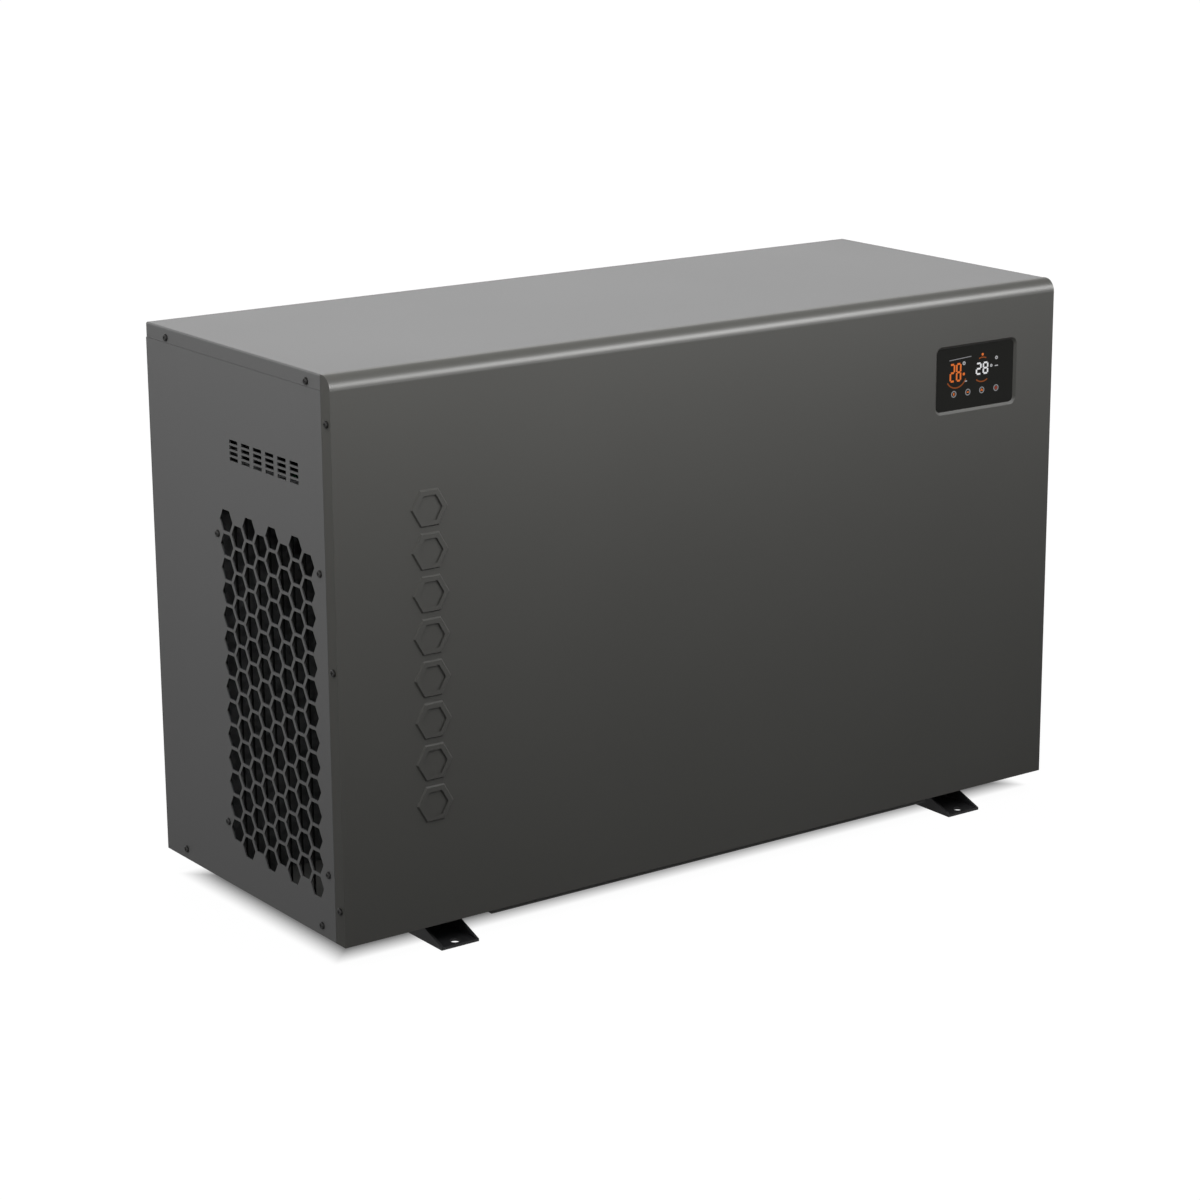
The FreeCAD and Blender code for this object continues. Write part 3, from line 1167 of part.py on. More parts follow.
def make_coil():
    """The evaporator: a block of fins between two end plates, crossed by hairpin tubes."""
    tubes = coil_tube_count()
    legs = [coil_leg(row, index) for row in range(count_of("coil_rows")) for index in range(tubes)]
    crest = "%s + %s * tube_pitch" % (COIL_BASE, tubes + 0.5)
    block = rectangle((COIL_FRONT, COIL_BACK), (COIL_BASE, crest))
    bores = [(y, z, "tube_radius + tube_play") for y, z in legs]
    fin_width = "%s - %s" % (PARTITION, COIL_LEFT)
    keep(plate("YZ", COIL_LEFT, fin_width, block, bores), "evaporator_fins")
    left = plate("YZ", "%s - inner_sheet" % COIL_LEFT, "inner_sheet",
                 rectangle((COIL_FRONT, COIL_BACK), (PAN_HIGH, "%s + end_plate_rise" % crest)), bores)
    right = plate("YZ", PARTITION, "inner_sheet",
                  rectangle((COIL_FRONT, "%s + coil_back_gap - 2 * panel_sheet" % COIL_BACK),
                            (PAN_LOW, "%s + end_plate_rise" % crest)), bores)
    keep(together(left, right), "evaporator_end_plates")
    far = "%s + inner_sheet + tube_end" % PARTITION
    hairpins = []
    returns = []
    for row in range(count_of("coil_rows")):
        for index in range(tubes):
            y, z = coil_leg(row, index)
            over = coil_leg(row, index + 1)[1]
            if index % 2 == 0:
                hairpins.append(u_bend(y, z, over, far, "%s - inner_sheet - 1" % COIL_LEFT))
            elif index < tubes - 1:
                returns.append(u_bend(y, z, over, far, "%s + 1" % far))
    for shapes, label in ((hairpins, "evaporator_hairpins"), (returns, "evaporator_return_bends")):
        bends = doc.addObject("Part::Feature", "Group")
        bends.Shape = Part.makeCompound(shapes)
        keep(bends, label)


def u_bend(y, low, high, start, end):
    """Two level legs joined by a half circle beyond their far end."""
    across = amount_of(y)
    under, over = amount_of(low), amount_of(high)
    near, far = amount_of(start), amount_of(end)
    reach = (over - under) / 2
    way = 1 if far > near else -1
    corners = [FreeCAD.Vector(near, across, under), FreeCAD.Vector(far, across, under),
               FreeCAD.Vector(far, across, over), FreeCAD.Vector(near, across, over)]
    crown = FreeCAD.Vector(far + way * reach, across, under + reach)
    edges = [Part.LineSegment(corners[0], corners[1]).toShape(),
             Part.Arc(corners[1], crown, corners[2]).toShape(),
             Part.LineSegment(corners[2], corners[3]).toShape()]
    radius = amount_of("tube_radius")
    section = Part.Wire(Part.makeCircle(radius, corners[0], FreeCAD.Vector(way, 0, 0)))
    return Part.Wire(edges).makePipeShell([section], True, True)


def make_headers():
    """The suction header joins the top legs of both rows, the liquid header the bottom legs."""
    tubes = coil_tube_count()
    start = "%s + inner_sheet + tube_end" % PARTITION
    headers = []
    for index, crown in ((tubes - 1, "header_crown"), (0, "header_reach")):
        lower = coil_leg(0, index)
        upper = coil_leg(1, index)
        pieces = [cylinder("z", (HEADER_X, HEADER_Y), "header_radius", "%s - header_reach" % lower[1],
                           "%s + %s" % (upper[1], crown))]
        for y, z in (lower, upper):
            pieces.append(cylinder("x", (y, z), "tube_radius", start, "%s - 4" % HEADER_X))
        headers.append(fuse(*pieces))
    keep(together(*headers), "coil_headers")


def ear_places():
    """The compressor's three feet, as X and Y."""
    places = []
    for angle in (90, 210, 330):
        places.append(("%s + ear_circle * cos(%d)" % (MACHINE_X, angle),
                       "%s + ear_circle * sin(%d)" % (MACHINE_Y, angle)))
    return places


def make_compressor():
    """A hermetic shell on a three-eared plate, on rubber grommets over studs in the pan."""
    shell = turned((MACHINE_X, MACHINE_Y, MACHINE_Z), "z", [
        ("0", "0"), ("compressor_radius - compressor_foot_round", "0", "compressor_foot_round"),
        ("compressor_radius", "compressor_foot_round"),
        ("compressor_radius", "compressor_height - compressor_dome", "compressor_dome"),
        ("compressor_radius - compressor_dome", "compressor_height"), ("0", "compressor_height"),
    ])
    keep(shell, "compressor_shell")
    level = ("%s - ear_sheet" % MACHINE_Z, MACHINE_Z)
    ears = ear_places()
    web = body()
    pad(web, sketch(web, "XY", level[0], ears), "ear_sheet")
    rounds = [cylinder("z", ear, "ear_radius", *level) for ear in ears]
    disc = cylinder("z", (MACHINE_X, MACHINE_Y), "compressor_radius - 4", *level)
    bores = [cylinder("z", ear, "grommet_neck + rubber_play", *level) for ear in ears]
    keep(cut(fuse(web, disc, *rounds), *bores), "compressor_base_plate")
    height = "(compressor_lift - ear_sheet)"
    grommet = turned(None, "z", [
        ("stud_radius + rubber_play", "0"), ("grommet_radius", "0"), ("grommet_radius", height),
        ("grommet_neck", height), ("grommet_neck", "%s + ear_sheet" % height),
        ("grommet_radius - 1", "%s + ear_sheet" % height),
        ("grommet_radius - 1", "%s + ear_sheet + grommet_collar" % height),
        ("stud_radius + rubber_play", "%s + ear_sheet + grommet_collar" % height),
    ])
    keep(group(grommet, [("z", (x, y, PAN_LOW)) for x, y in ears]), "compressor_grommets")
    washer = "compressor_lift + grommet_collar"
    crown = "%s + 2 + bolt_nut" % washer
    stud = turned(None, "z", [
        ("0", "0"), ("stud_radius", "0"), ("stud_radius", washer), ("stud_washer", washer),
        ("stud_washer", "%s + 2" % washer), ("stud_nut", "%s + 2" % washer), ("stud_nut", crown),
        ("stud_radius", crown), ("stud_radius", "%s + stud_tip" % crown), ("0", "%s + stud_tip" % crown),
    ])
    keep(group(stud, [("z", (x, y, PAN_LOW)) for x, y in ears]), "compressor_studs")
    cover = cylinder("z", ("%s - terminal_offset" % MACHINE_X, MACHINE_Y), "terminal_radius",
                     "%s - terminal_drop" % MACHINE_TOP, "%s + terminal_rise" % MACHINE_TOP)
    keep(cut(cover, shell_copy()), "compressor_terminal_cover")


def shell_copy():
    """A plain copy of the compressor shell's shape, for trimming what sits on it."""
    doc.recompute()
    shell = [part for part in finished if part.Label == "compressor_shell"][0]
    copy = doc.addObject("Part::Feature", "Copy")
    copy.Shape = shell.Shape
    return copy


def make_accumulator():
    """The suction accumulator beside the compressor, the elbow between them and the bracket that holds it."""
    bottle = turned((BOTTLE_X, BOTTLE_Y, BOTTLE_Z), "z", [
        ("0", "0"), ("accumulator_radius - accumulator_round", "0", "accumulator_round"),
        ("accumulator_radius", "accumulator_round"),
        ("accumulator_radius", "accumulator_height - accumulator_round", "accumulator_round"),
        ("accumulator_radius - accumulator_round", "accumulator_height"), ("0", "accumulator_height"),
    ])
    low = "%s - elbow_drop" % BOTTLE_Z
    elbow = pipe([(BOTTLE_X, BOTTLE_Y, BOTTLE_Z), (BOTTLE_X, BOTTLE_Y, low), (MACHINE_X, MACHINE_Y, low)],
                 bend="pipe_radius * 2")
    keep(fuse(bottle, cut(elbow, shell_copy())), "suction_accumulator")
    span = box(("%s + 20" % MACHINE_X, "%s - 12" % BOTTLE_X), ("%s - 12" % BOTTLE_Y, "%s - 18" % MACHINE_Y),
               ("%s + strap_rise" % BOTTLE_Z, "%s + strap_rise + strap_height" % BOTTLE_Z))
    bar = cylinder("z", (BOTTLE_X, BOTTLE_Y), "accumulator_radius", BOTTLE_Z,
                   "%s + accumulator_height" % BOTTLE_Z)
    keep(cut(span, bar, shell_copy()), "accumulator_bracket")


def make_four_way_valve():
    """A slim cylinder with one port below and three above, and its solenoid beside it."""
    half = "valve_length / 2"
    pieces = [cylinder("x", (VALVE_Y, VALVE_Z), "valve_radius", "%s - %s" % (VALVE_X, half),
                       "%s + %s" % (VALVE_X, half))]
    reach = "(valve_radius + valve_port)"
    sleeve = "pipe_radius + port_sleeve"
    pieces.append(cylinder("z", (VALVE_X, VALVE_Y), sleeve, "%s - %s" % (VALVE_Z, reach), VALVE_Z))
    for way in ("-1", "0", "1"):
        x = "%s + %s * valve_port_pitch" % (VALVE_X, way)
        pieces.append(cylinder("z", (x, VALVE_Y), sleeve, VALVE_Z, "%s + %s" % (VALVE_Z, reach)))
    keep(fuse(*pieces), "four_way_valve")
    side = ("%s - valve_radius - solenoid_depth" % VALVE_Y, "%s - valve_radius" % VALVE_Y)
    wide, tall = [("%s - solenoid_width / 2" % middle, "%s + solenoid_width / 2" % middle)
                  for middle in (VALVE_X, VALVE_Z)]
    coil = box(wide, side, tall)
    keep(coil, "valve_solenoid")


def make_pipes():
    """The refrigerant pipes between compressor, four-way valve, coil, expansion valve and water heat
    exchanger."""
    port = "(valve_radius + valve_port)"
    below = "%s - %s" % (VALVE_Z, port)
    above = "%s + %s" % (VALVE_Z, port)
    lane = "%s - discharge_drop" % below
    keep(pipe([(VALVE_X, MACHINE_Y, MACHINE_TOP), (VALVE_X, MACHINE_Y, lane), (VALVE_X, VALVE_Y, lane),
               (VALVE_X, VALVE_Y, below)]), "discharge_pipe")
    right = "%s + valve_port_pitch" % VALVE_X
    left = "%s - valve_port_pitch" % VALVE_X
    bottle_top = "%s + accumulator_height" % BOTTLE_Z
    over = "%s + suction_rise" % above
    keep(pipe([(right, VALVE_Y, above), (right, VALVE_Y, over), (BOTTLE_X, VALVE_Y, over),
               (BOTTLE_X, BOTTLE_Y, over), (BOTTLE_X, BOTTLE_Y, bottle_top)]), "suction_pipe")
    high = "%s + gas_rise" % above
    gas_y = "%s - exchanger_port" % WATER_Y
    keep(pipe([(VALVE_X, VALVE_Y, above), (VALVE_X, VALVE_Y, high), (VALVE_X, gas_y, high),
               (WATER_X, gas_y, high), (WATER_X, gas_y, WATER_TOP)]), "gas_pipe")
    header_top = "%s + header_crown" % coil_leg(1, coil_tube_count() - 1)[1]
    peak = "%s + coil_pipe_rise" % header_top
    keep(pipe([(left, VALVE_Y, above), (left, VALVE_Y, peak), (left, HEADER_Y, peak),
               (HEADER_X, HEADER_Y, peak), (HEADER_X, HEADER_Y, header_top)],
              bend="pipe_radius * 1.6"), "coil_pipe")
    make_liquid_line()


def make_liquid_line():
    """From the water heat exchanger down through the expansion valve to the coil's liquid header."""
    x = "(%s - liquid_west)" % WATER_X
    y = "(%s + exchanger_port)" % WATER_Y
    run = "%s + liquid_rise" % WATER_TOP
    valve_low = "(foot_height + expansion_low)"
    valve_high = "(%s + expansion_length)" % valve_low
    valve = turned((x, y, valve_low), "z", [
        ("0", "0"), ("expansion_port", "0"), ("expansion_port", "expansion_length * 0.13"),
        ("expansion_body", "expansion_length * 0.2"), ("expansion_body", "expansion_length * 0.53"),
        ("expansion_neck", "expansion_length * 0.6"), ("expansion_neck", "expansion_length * 0.87"),
        ("expansion_port", "expansion_length"), ("0", "expansion_length"),
    ])
    keep(valve, "expansion_valve")
    header_top = "%s + header_reach" % coil_leg(1, 0)[1]
    lane = "%s + liquid_lane" % header_top
    upper = pipe([(WATER_X, y, WATER_TOP), (WATER_X, y, run), (x, y, run), (x, y, valve_high)])
    lower = pipe([(x, y, valve_low), (x, y, lane), (HEADER_X, y, lane), (HEADER_X, HEADER_Y, lane),
                  (HEADER_X, HEADER_Y, header_top)])
    keep(together(upper, lower), "liquid_pipes")


def make_heat_exchanger():
    """A plastic vessel with two water stubs to the back; a titanium coil is sealed inside it."""
    wall = "exchanger_wall"
    base = (WATER_X, WATER_Y, PAN_HIGH)
    top = "exchanger_height"
    shell = turned(base, "z", [
        ("0", "0"), ("exchanger_radius", "0"),
        ("exchanger_radius", "%s - exchanger_round" % top, "exchanger_round"),
        ("exchanger_radius - exchanger_round", top), ("0", top),
    ])
    aft = "%s - water_stub_end" % BACK
    stubs = []
    bores = []
    for rise in ("water_low", "water_high"):
        place = (WATER_X, "foot_height + " + rise)
        stubs.append(cylinder("y", place, "water_bore + water_stub_wall", WATER_Y, aft))
        bores.append(cylinder("y", place, "water_bore", WATER_Y, aft))
    room = cylinder("z", (WATER_X, WATER_Y), "exchanger_radius - %s" % wall, "%s + %s" % (PAN_HIGH, wall),
                    "%s - %s" % (WATER_TOP, wall))
    x, y, z = switch_place()
    nipple = cylinder("z", (x, y), "switch_nipple", z, "%s + 2 * water_bore" % z)
    keep(cut(fuse(shell, *stubs), room, *bores, nipple), "heat_exchanger_shell")
    rings = []
    turns = count_of("coil_turns")
    low = "(%s + exchanger_wall + coil_ring_low)" % PAN_HIGH
    high = "(%s - exchanger_wall - coil_ring_high)" % WATER_TOP
    for index in range(turns):
        ring = doc.addObject("Part::Torus", "Ring")
        ring.setExpression("Radius1", bound("coil_ring"))
        ring.setExpression("Radius2", bound("coil_ring_tube"))
        put(ring, (WATER_X, WATER_Y, "%s + %s * (%s - %s)" % (low, index / (turns - 1), high, low)))
        rings.append(ring)
    for side in ("-", "+"):
        riser = (WATER_X, "%s %s coil_ring" % (WATER_Y, side))
        ends = ("%s - coil_ring_tube" % low, "%s - exchanger_wall" % WATER_TOP)
        rings.append(cylinder("z", riser, "coil_riser", *ends))
    keep(fuse(*rings), "titanium_coil")


def switch_place():
    """Where the flow switch screws into the inlet stub."""
    y = "%s - water_stub_end - switch_setback" % BACK
    return WATER_X, y, "foot_height + water_low"


def make_flow_switch():
    """A nipple with a small box on top; a paddle hangs in the water way from a pin across the nipple."""
    x, y, z = switch_place()
    seat = "%s + water_bore + water_stub_wall" % z
    low = "%s + water_bore - 3" % z
    nipple = cut(
        fuse(cylinder("z", (x, y), "switch_nipple", low, "%s + 8" % seat),
             cylinder("z", (x, y), "switch_hex", "%s + 2" % seat, "%s + 8" % seat),
             box(("%s - switch_case_width / 2" % x, "%s + switch_case_width / 2" % x),
                 ("%s - switch_case_depth / 2" % y, "%s + switch_case_depth / 2" % y),
                 ("%s + 8" % seat, "%s + 8 + switch_case_height" % seat))),
        cylinder("z", (x, y), "switch_bore", low, "%s + 4" % seat),
    )
    pin_z = "%s + water_bore + 4" % z
    pin = cylinder("x", (y, pin_z), "paddle_pin", "%s - switch_bore - 0.5" % x, "%s + switch_bore + 0.5" % x)
    keep(fuse(nipple, pin), "flow_switch_body")
    eye = "paddle_pin + 1.5"
    blade_low = "%s - water_bore + paddle_gap" % z
    sheet_y = ("%s - paddle_sheet / 2" % y, "%s + paddle_sheet / 2" % y)
    paddle = cut(
        fuse(cylinder("x", (y, pin_z), eye, "%s - 3.5" % x, "%s + 3.5" % x),
             box(("%s - 3.5" % x, "%s + 3.5" % x), sheet_y, (blade_low, pin_z)),
             box(("%s - paddle_width / 2" % x, "%s + paddle_width / 2" % x), sheet_y,
                 (blade_low, "%s + paddle_width / 2" % z))),
        cylinder("x", (y, pin_z), "paddle_pin + paddle_play", "%s - 4" % x, "%s + 4" % x),
    )
    keep(paddle, "flow_switch_paddle")


def make_unions():
    """Threaded union bodies through the rear panel, each with seal, tail and a free-turning nut."""
    outer = "(water_bore + water_stub_wall)"
    start = "(-water_stub_end)"
    face = "union_length"
    collar = "(union_thread - nut_play)"
    barrel = "(socket_bore + socket_wall)"
    body_end = "%s + seal_depth" % face
    tail_end = "(%s + collar_depth + 1 + socket_depth)" % body_end
    bodies = []
    tails = []
    for rise, name in (("water_low", "inlet"), ("water_high", "outlet")):
        place = (WATER_X, BACK, "foot_height + " + rise)
        bodies.append(turned(place, "y", [
            ("water_bore", start), (outer, start), (outer, "0"), ("union_thread + 5", "0"),
            ("union_thread + 5", "union_flange"), ("union_thread", "union_flange"), ("union_thread", face),
            ("water_bore", face),
        ]))
        tails.append(turned(place, "y", [
            ("water_bore", body_end), (collar, body_end), (collar, "%s + collar_depth" % body_end),
            (barrel, "%s + collar_depth" % body_end), (barrel, tail_end), ("socket_bore", tail_end),
            ("socket_bore", "%s - socket_depth" % tail_end), ("water_bore", "%s - socket_depth" % tail_end),
        ]))
        make_union_nut(place, name, body_end, barrel)
    keep(together(*bodies), "union_bodies")
    keep(together(*tails), "union_tails")
    seal = turned(None, "y", [
        ("water_bore + 3", "0"), ("%s - 1" % collar, "0"), ("%s - 1" % collar, "seal_depth"),
        ("water_bore + 3", "seal_depth"),
    ])
    places = [("y", (WATER_X, "%s + %s" % (BACK, face), "foot_height + " + rise))
              for rise in ("water_low", "water_high")]
    keep(group(seal, places), "union_seals")


def make_union_nut(place, name, body_end, barrel):
    """A nut with grip ribs; its inner lip draws the tail's collar against the seal."""
    bore = "union_thread + nut_play"
    inside = "%s + collar_depth + nut_play" % body_end
    rim = "%s + nut_wall" % bore
    ring = turned(place, "y", [
        (bore, "union_flange + 1"), (rim, "union_flange + 1"), (rim, "%s + nut_lip - 3" % inside),
        ("%s - 3" % rim, "%s + nut_lip" % inside), ("%s + nut_play" % barrel, "%s + nut_lip" % inside),
        ("%s + nut_play" % barrel, inside), (bore, inside),
    ])
    rib = sketch(ring, "XY", "union_flange + 3", rectangle(("%s - 1" % rim, "%s + 2" % rim), ("-3", "3")))
    first = pad(ring, rib, "%s + nut_lip - union_flange - 7" % inside)
    ribs = ring.newObject("PartDesign::PolarPattern", "Ribs")
    ribs.Originals = [first]
    axis = [feature for feature in ring.Origin.OriginFeatures if feature.Role == "Z_Axis"]
    ribs.Axis = (axis[0], [""])
    ribs.Angle = 360
    ribs.Occurrences = 12
    ring.Tip = ribs
    keep(ring, name + "_union_nut")


def make_glands():
    """Two cable glands in the rear panel, for supply and control cables."""
    gland = turned(None, "y", [
        ("gland_bore", "-gland_inner"), ("gland_thread", "-gland_inner"), ("gland_thread", "0"),
        ("gland_flange", "0"), ("gland_flange", "gland_flange_depth"), ("gland_cap", "gland_flange_depth"),
        ("gland_cap", "gland_cap_depth"), ("gland_mouth", "gland_length"), ("gland_bore", "gland_length"),
    ])
    keep(group(gland, [("y", (x, BACK, z)) for x, z in gland_places()]), "cable_glands")


def make_drain():
    """The condensate spigot under the pan, below the coil."""
    under = "foot_height - pan_step"
    spigot = turned((FAN_X, COIL_FRONT, under), "z", [
        ("drain_bore", "-drain_length - drain_flange_depth"),
        ("drain_radius", "-drain_length - drain_flange_depth"),
        ("drain_radius", "-drain_flange_depth"), ("drain_radius + drain_flange", "-drain_flange_depth"),
        ("drain_radius + drain_flange", "0"), ("drain_radius", "0"), ("drain_radius", "pan_sheet"),
        ("drain_bore", "pan_sheet"),
    ])
    keep(spigot, "drain_spigot")


def box_span():
    """The electrical box's outer limits in X and Y."""
    return ("%s + 2 * panel_sheet + box_side_gap" % LEFT, PARTITION), ("%s + box_front_gap" % FRONT, BULKHEAD)


def make_electrical_box():
    """An open steel tray under the top cover, its lid, and what it holds."""
    (left, right), (fore, aft) = box_span()
    crest = "(%s - lid_drop)" % TOP
    tray = body()
    pad(tray, sketch(tray, "XY", BOX_FLOOR, rectangle((left, right), (fore, aft))),
        "%s - %s" % (crest, BOX_FLOOR))
    room = rectangle(("%s + inner_sheet" % left, "%s - inner_sheet" % right),
                     ("%s + inner_sheet" % fore, "%s - inner_sheet" % aft))
    pocket(tray, sketch(tray, "XY", crest, room), "%s - %s - inner_sheet" % (crest, BOX_FLOOR))
    sink = sink_span()
    hatch = rectangle(*[("%s + 4" % low, "%s - 4" % high) for low, high in sink])
    pocket(tray, sketch(tray, "XY", "%s + inner_sheet" % BOX_FLOOR, hatch), "inner_sheet")
    y = "%s + outlet_centre" % FRONT
    z = "%s - slot_drop" % TOP
    vent = rectangle(("%s - vent_width / 2" % y, "%s + vent_width / 2" % y),
                     ("%s - vent_height / 2" % z, "%s + vent_height / 2" % z))
    pocket(tray, sketch(tray, "YZ", left, vent), "inner_sheet", True)
    keep(tray, "electrical_box")
    lid = plate("XY", crest, "inner_sheet", rectangle((left, right), (fore, aft)))
    keep(lid, "electrical_lid")
    floor = "(%s + inner_sheet)" % BOX_FLOOR
    make_boards(floor, left, fore)
    make_heat_sink(sink)


def sink_span():
    """The heat sink's limits in X and Y, under the left end of the box."""
    (left, right), (fore, aft) = box_span()
    start = "(%s + sink_inset)" % left
    return (start, "%s + sink_width" % start), ("%s + sink_front" % fore, "%s - sink_back" % aft)


def make_boards(floor, left, fore):
    """The inverter board above the heat sink, the control board and the reactor between them."""
    def board(x, y, blocks):
        top = "(%s + board_lift + board_sheet)" % floor
        pieces = [box(x, y, ("%s + board_lift" % floor, top))]
        for a, b in ((a, b) for a in (0, 1) for b in (0, 1)):
            post_x = "%s %s 5" % (x[a], "+-"[a])
            post_y = "%s %s 5" % (y[b], "+-"[b])
            post_top = "%s + board_lift + 1" % floor
            pieces.append(cylinder("z", (post_x, post_y), "bolt_radius", floor, post_top))
        for dx, dy, wide, deep, tall in blocks:
            start = ("%s + %s" % (x[0], dx), "%s + %s" % (y[0], dy))
            pieces.append(box((start[0], "%s + %s" % (start[0], wide)),
                              (start[1], "%s + %s" % (start[1], deep)), (top, "%s + %s" % (top, tall))))
        return fuse(*pieces)

    deep = ("%s + board_front" % fore, "%s + board_front + board_depth" % fore)
    inverter = board(("%s + inverter_west" % left, "%s + inverter_west + inverter_width" % left), deep,
                     [(20, 30, 40, 60, 12), (80, 20, 30, 30, 40), (80, 60, 30, 30, 40),
                      (80, 100, 30, 30, 40)])
    control = board(("%s + control_west" % left, "%s + control_west + control_width" % left), deep,
                    [(15, 20, 20, 30, 16), (45, 20, 20, 30, 16), (75, 20, 20, 30, 16), (20, 90, 50, 40, 34),
                     (110, 30, 14, 100, 14)])
    keep(together(inverter, control), "circuit_boards")
    core = fuse(
        box(("%s + 200" % left, "%s + 276" % left), ("%s + 60" % fore, "%s + 84" % fore),
            (floor, "%s + 62" % floor)),
        box(("%s + 214" % left, "%s + 262" % left), ("%s + 48" % fore, "%s + 96" % fore),
            ("%s + 12" % floor, "%s + 50" % floor)))
    keep(core, "reactor")


def make_heat_sink(sink):
    """A finned aluminium block that hangs from the box into the fan's air."""
    (left, right), span_y = sink
    pieces = [box((left, right), span_y, ("%s - sink_base" % BOX_FLOOR, BOX_FLOOR))]
    for index in range(count_of("sink_fins")):
        x = "%s + sink_fin + %d * sink_pitch" % (left, index)
        pieces.append(box((x, "%s + sink_fin" % x), span_y,
                          ("%s - sink_depth" % BOX_FLOOR, "%s - sink_base" % BOX_FLOOR)))
    keep(fuse(*pieces), "heat_sink")


def make_display():
    """Glass behind the panel's drawn rim, the lit panel behind it, and the housing that holds both."""
    x = "(%s - display_inset)" % RIGHT
    z = "(%s - display_drop)" % TOP
    face = "(%s + panel_sheet + display_rim_depth)" % FRONT
    wide, tall = "display_width + display_rim", "display_height + display_rim"
    glass = body()
    outline = rounded((x, z), wide, tall, "display_round")
    pad(glass, sketch(glass, "XZ", "-%s" % face, outline), "glass_thickness", True)
    keep(glass, "display_glass")
    behind = "(%s + glass_thickness)" % face
    lit = body()
    outline = rounded((x, z), "display_width - 2 * lit_side_margin", "display_height - 2 * lit_end_margin",
                      "lit_round")
    pad(lit, sketch(lit, "XZ", "-%s" % behind, outline), "lit_depth", True)
    keep(lit, "display_panel")
    case = body()
    outer = rounded((x, z), wide, tall, "display_round")
    inner = rounded((x, z), "%s - 2 * display_wall" % wide, "%s - 2 * display_wall" % tall,
                    "display_round - display_wall")
    pad(case, sketch(case, "XZ", "-%s" % behind, outer), "display_case_depth", True)
    pocket(case, sketch(case, "XZ", "-%s" % behind, inner), "display_case_depth - display_wall")
    shelf = rectangle(("%s - lit_shelf_width / 2" % x, "%s + lit_shelf_width / 2" % x),
                      ("%s - lit_shelf_height / 2" % z, "%s + lit_shelf_height / 2" % z))
    pad(case, sketch(case, "XZ", "-(%s + lit_depth)" % behind, shelf), "display_case_depth - lit_depth", True)
    keep(case, "display_housing")


def check_document():
    """Stop when any object failed or any finished sub-part has no sound shape."""
    doc.recompute()
    for part in doc.Objects:
        if "Invalid" in part.State or "Error" in part.State:
            raise SystemExit("failed object: %s (%s)" % (part.Name, part.Label))
    for part in finished:
        if part.Shape.isNull() or not part.Shape.isValid():
            raise SystemExit("bad shape: " + part.Label)


def write_files():
    os.makedirs("parts", exist_ok=True)
    for part in finished:
        part.Shape.exportStep("parts/%s.step" % part.Label)
        print(part.Label, len(part.Shape.Solids), round(part.Shape.Volume))


make_base_pan()
make_foot("foot_left", "-")
make_foot("foot_right", "")
make_foot_bolts()
make_front_panel()
make_side_panels()
make_rear_panel()
make_top_cover()
make_screws()
make_outlet_guard()
make_inner_plates()
make_bell_mouth()
make_impeller()
make_fan_drive()
make_coil()
make_headers()
make_compressor()
make_accumulator()
make_four_way_valve()
make_pipes()
make_heat_exchanger()
make_flow_switch()
make_unions()
make_glands()
make_drain()
make_electrical_box()
make_display()
check_document()
write_files()
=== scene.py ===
import bmesh
import bpy
import numpy as np
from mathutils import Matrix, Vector


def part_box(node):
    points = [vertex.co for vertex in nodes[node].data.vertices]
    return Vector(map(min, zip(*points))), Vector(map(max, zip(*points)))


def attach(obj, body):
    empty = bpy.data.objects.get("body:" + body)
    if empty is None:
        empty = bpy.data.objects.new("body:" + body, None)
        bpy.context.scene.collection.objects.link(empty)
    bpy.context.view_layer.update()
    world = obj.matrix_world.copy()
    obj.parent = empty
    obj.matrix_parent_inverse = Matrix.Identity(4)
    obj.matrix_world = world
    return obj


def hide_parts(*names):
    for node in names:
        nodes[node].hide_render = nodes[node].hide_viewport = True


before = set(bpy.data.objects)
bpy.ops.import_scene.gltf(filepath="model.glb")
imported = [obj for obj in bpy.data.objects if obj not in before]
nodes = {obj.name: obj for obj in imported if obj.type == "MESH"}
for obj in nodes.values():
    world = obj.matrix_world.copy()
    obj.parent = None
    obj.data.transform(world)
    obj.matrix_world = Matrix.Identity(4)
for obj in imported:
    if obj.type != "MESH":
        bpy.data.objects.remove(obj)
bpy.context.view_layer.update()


# ---------------------------------------------------------------- studio floor, light and camera
# A white seamless floor, a large soft box overhead, smaller ones at the left and behind, and a long card in
# front that only draws the bright line along the front panel's upper fold. The background is white to the
# camera; in reflections it is bright round the horizon and dark overhead.

class Value:
    """A socket in a node tree. Arithmetic on it adds Math nodes."""

    def __init__(self, owner, socket):
        self.owner = owner
        self.socket = socket

    def math(self, operation, *others):
        return self.owner.add("Math", {"operation": operation}, self, *others)

    def __add__(self, other):
        return self.math("ADD", other)

    def __sub__(self, other):
        return self.math("SUBTRACT", other)

    def __mul__(self, other):
        return self.math("MULTIPLY", other)

    def largest(self, other):
        return self.math("MAXIMUM", other)


class Nodes:
    """A node tree, and one method that adds any node to it."""

    def __init__(self, tree):
        self.tree = tree

    def add(self, kind, settings, *inputs, out=0, **named):
        """Add a node: its settings first, then the values or links of its sockets."""
        node = self.tree.nodes.new("ShaderNode" + kind)
        for setting, amount in settings.items():
            setattr(node, setting, amount)
        for place, amount in enumerate(inputs):
            self.feed(node.inputs[place], amount)
        for label, amount in named.items():
            self.feed(node.inputs[label.replace("_", " ")], amount)
        return Value(self, node.outputs[out])

    def feed(self, socket, amount):
        if isinstance(amount, Value):
            self.tree.links.new(amount.socket, socket)
        else:
            socket.default_value = amount


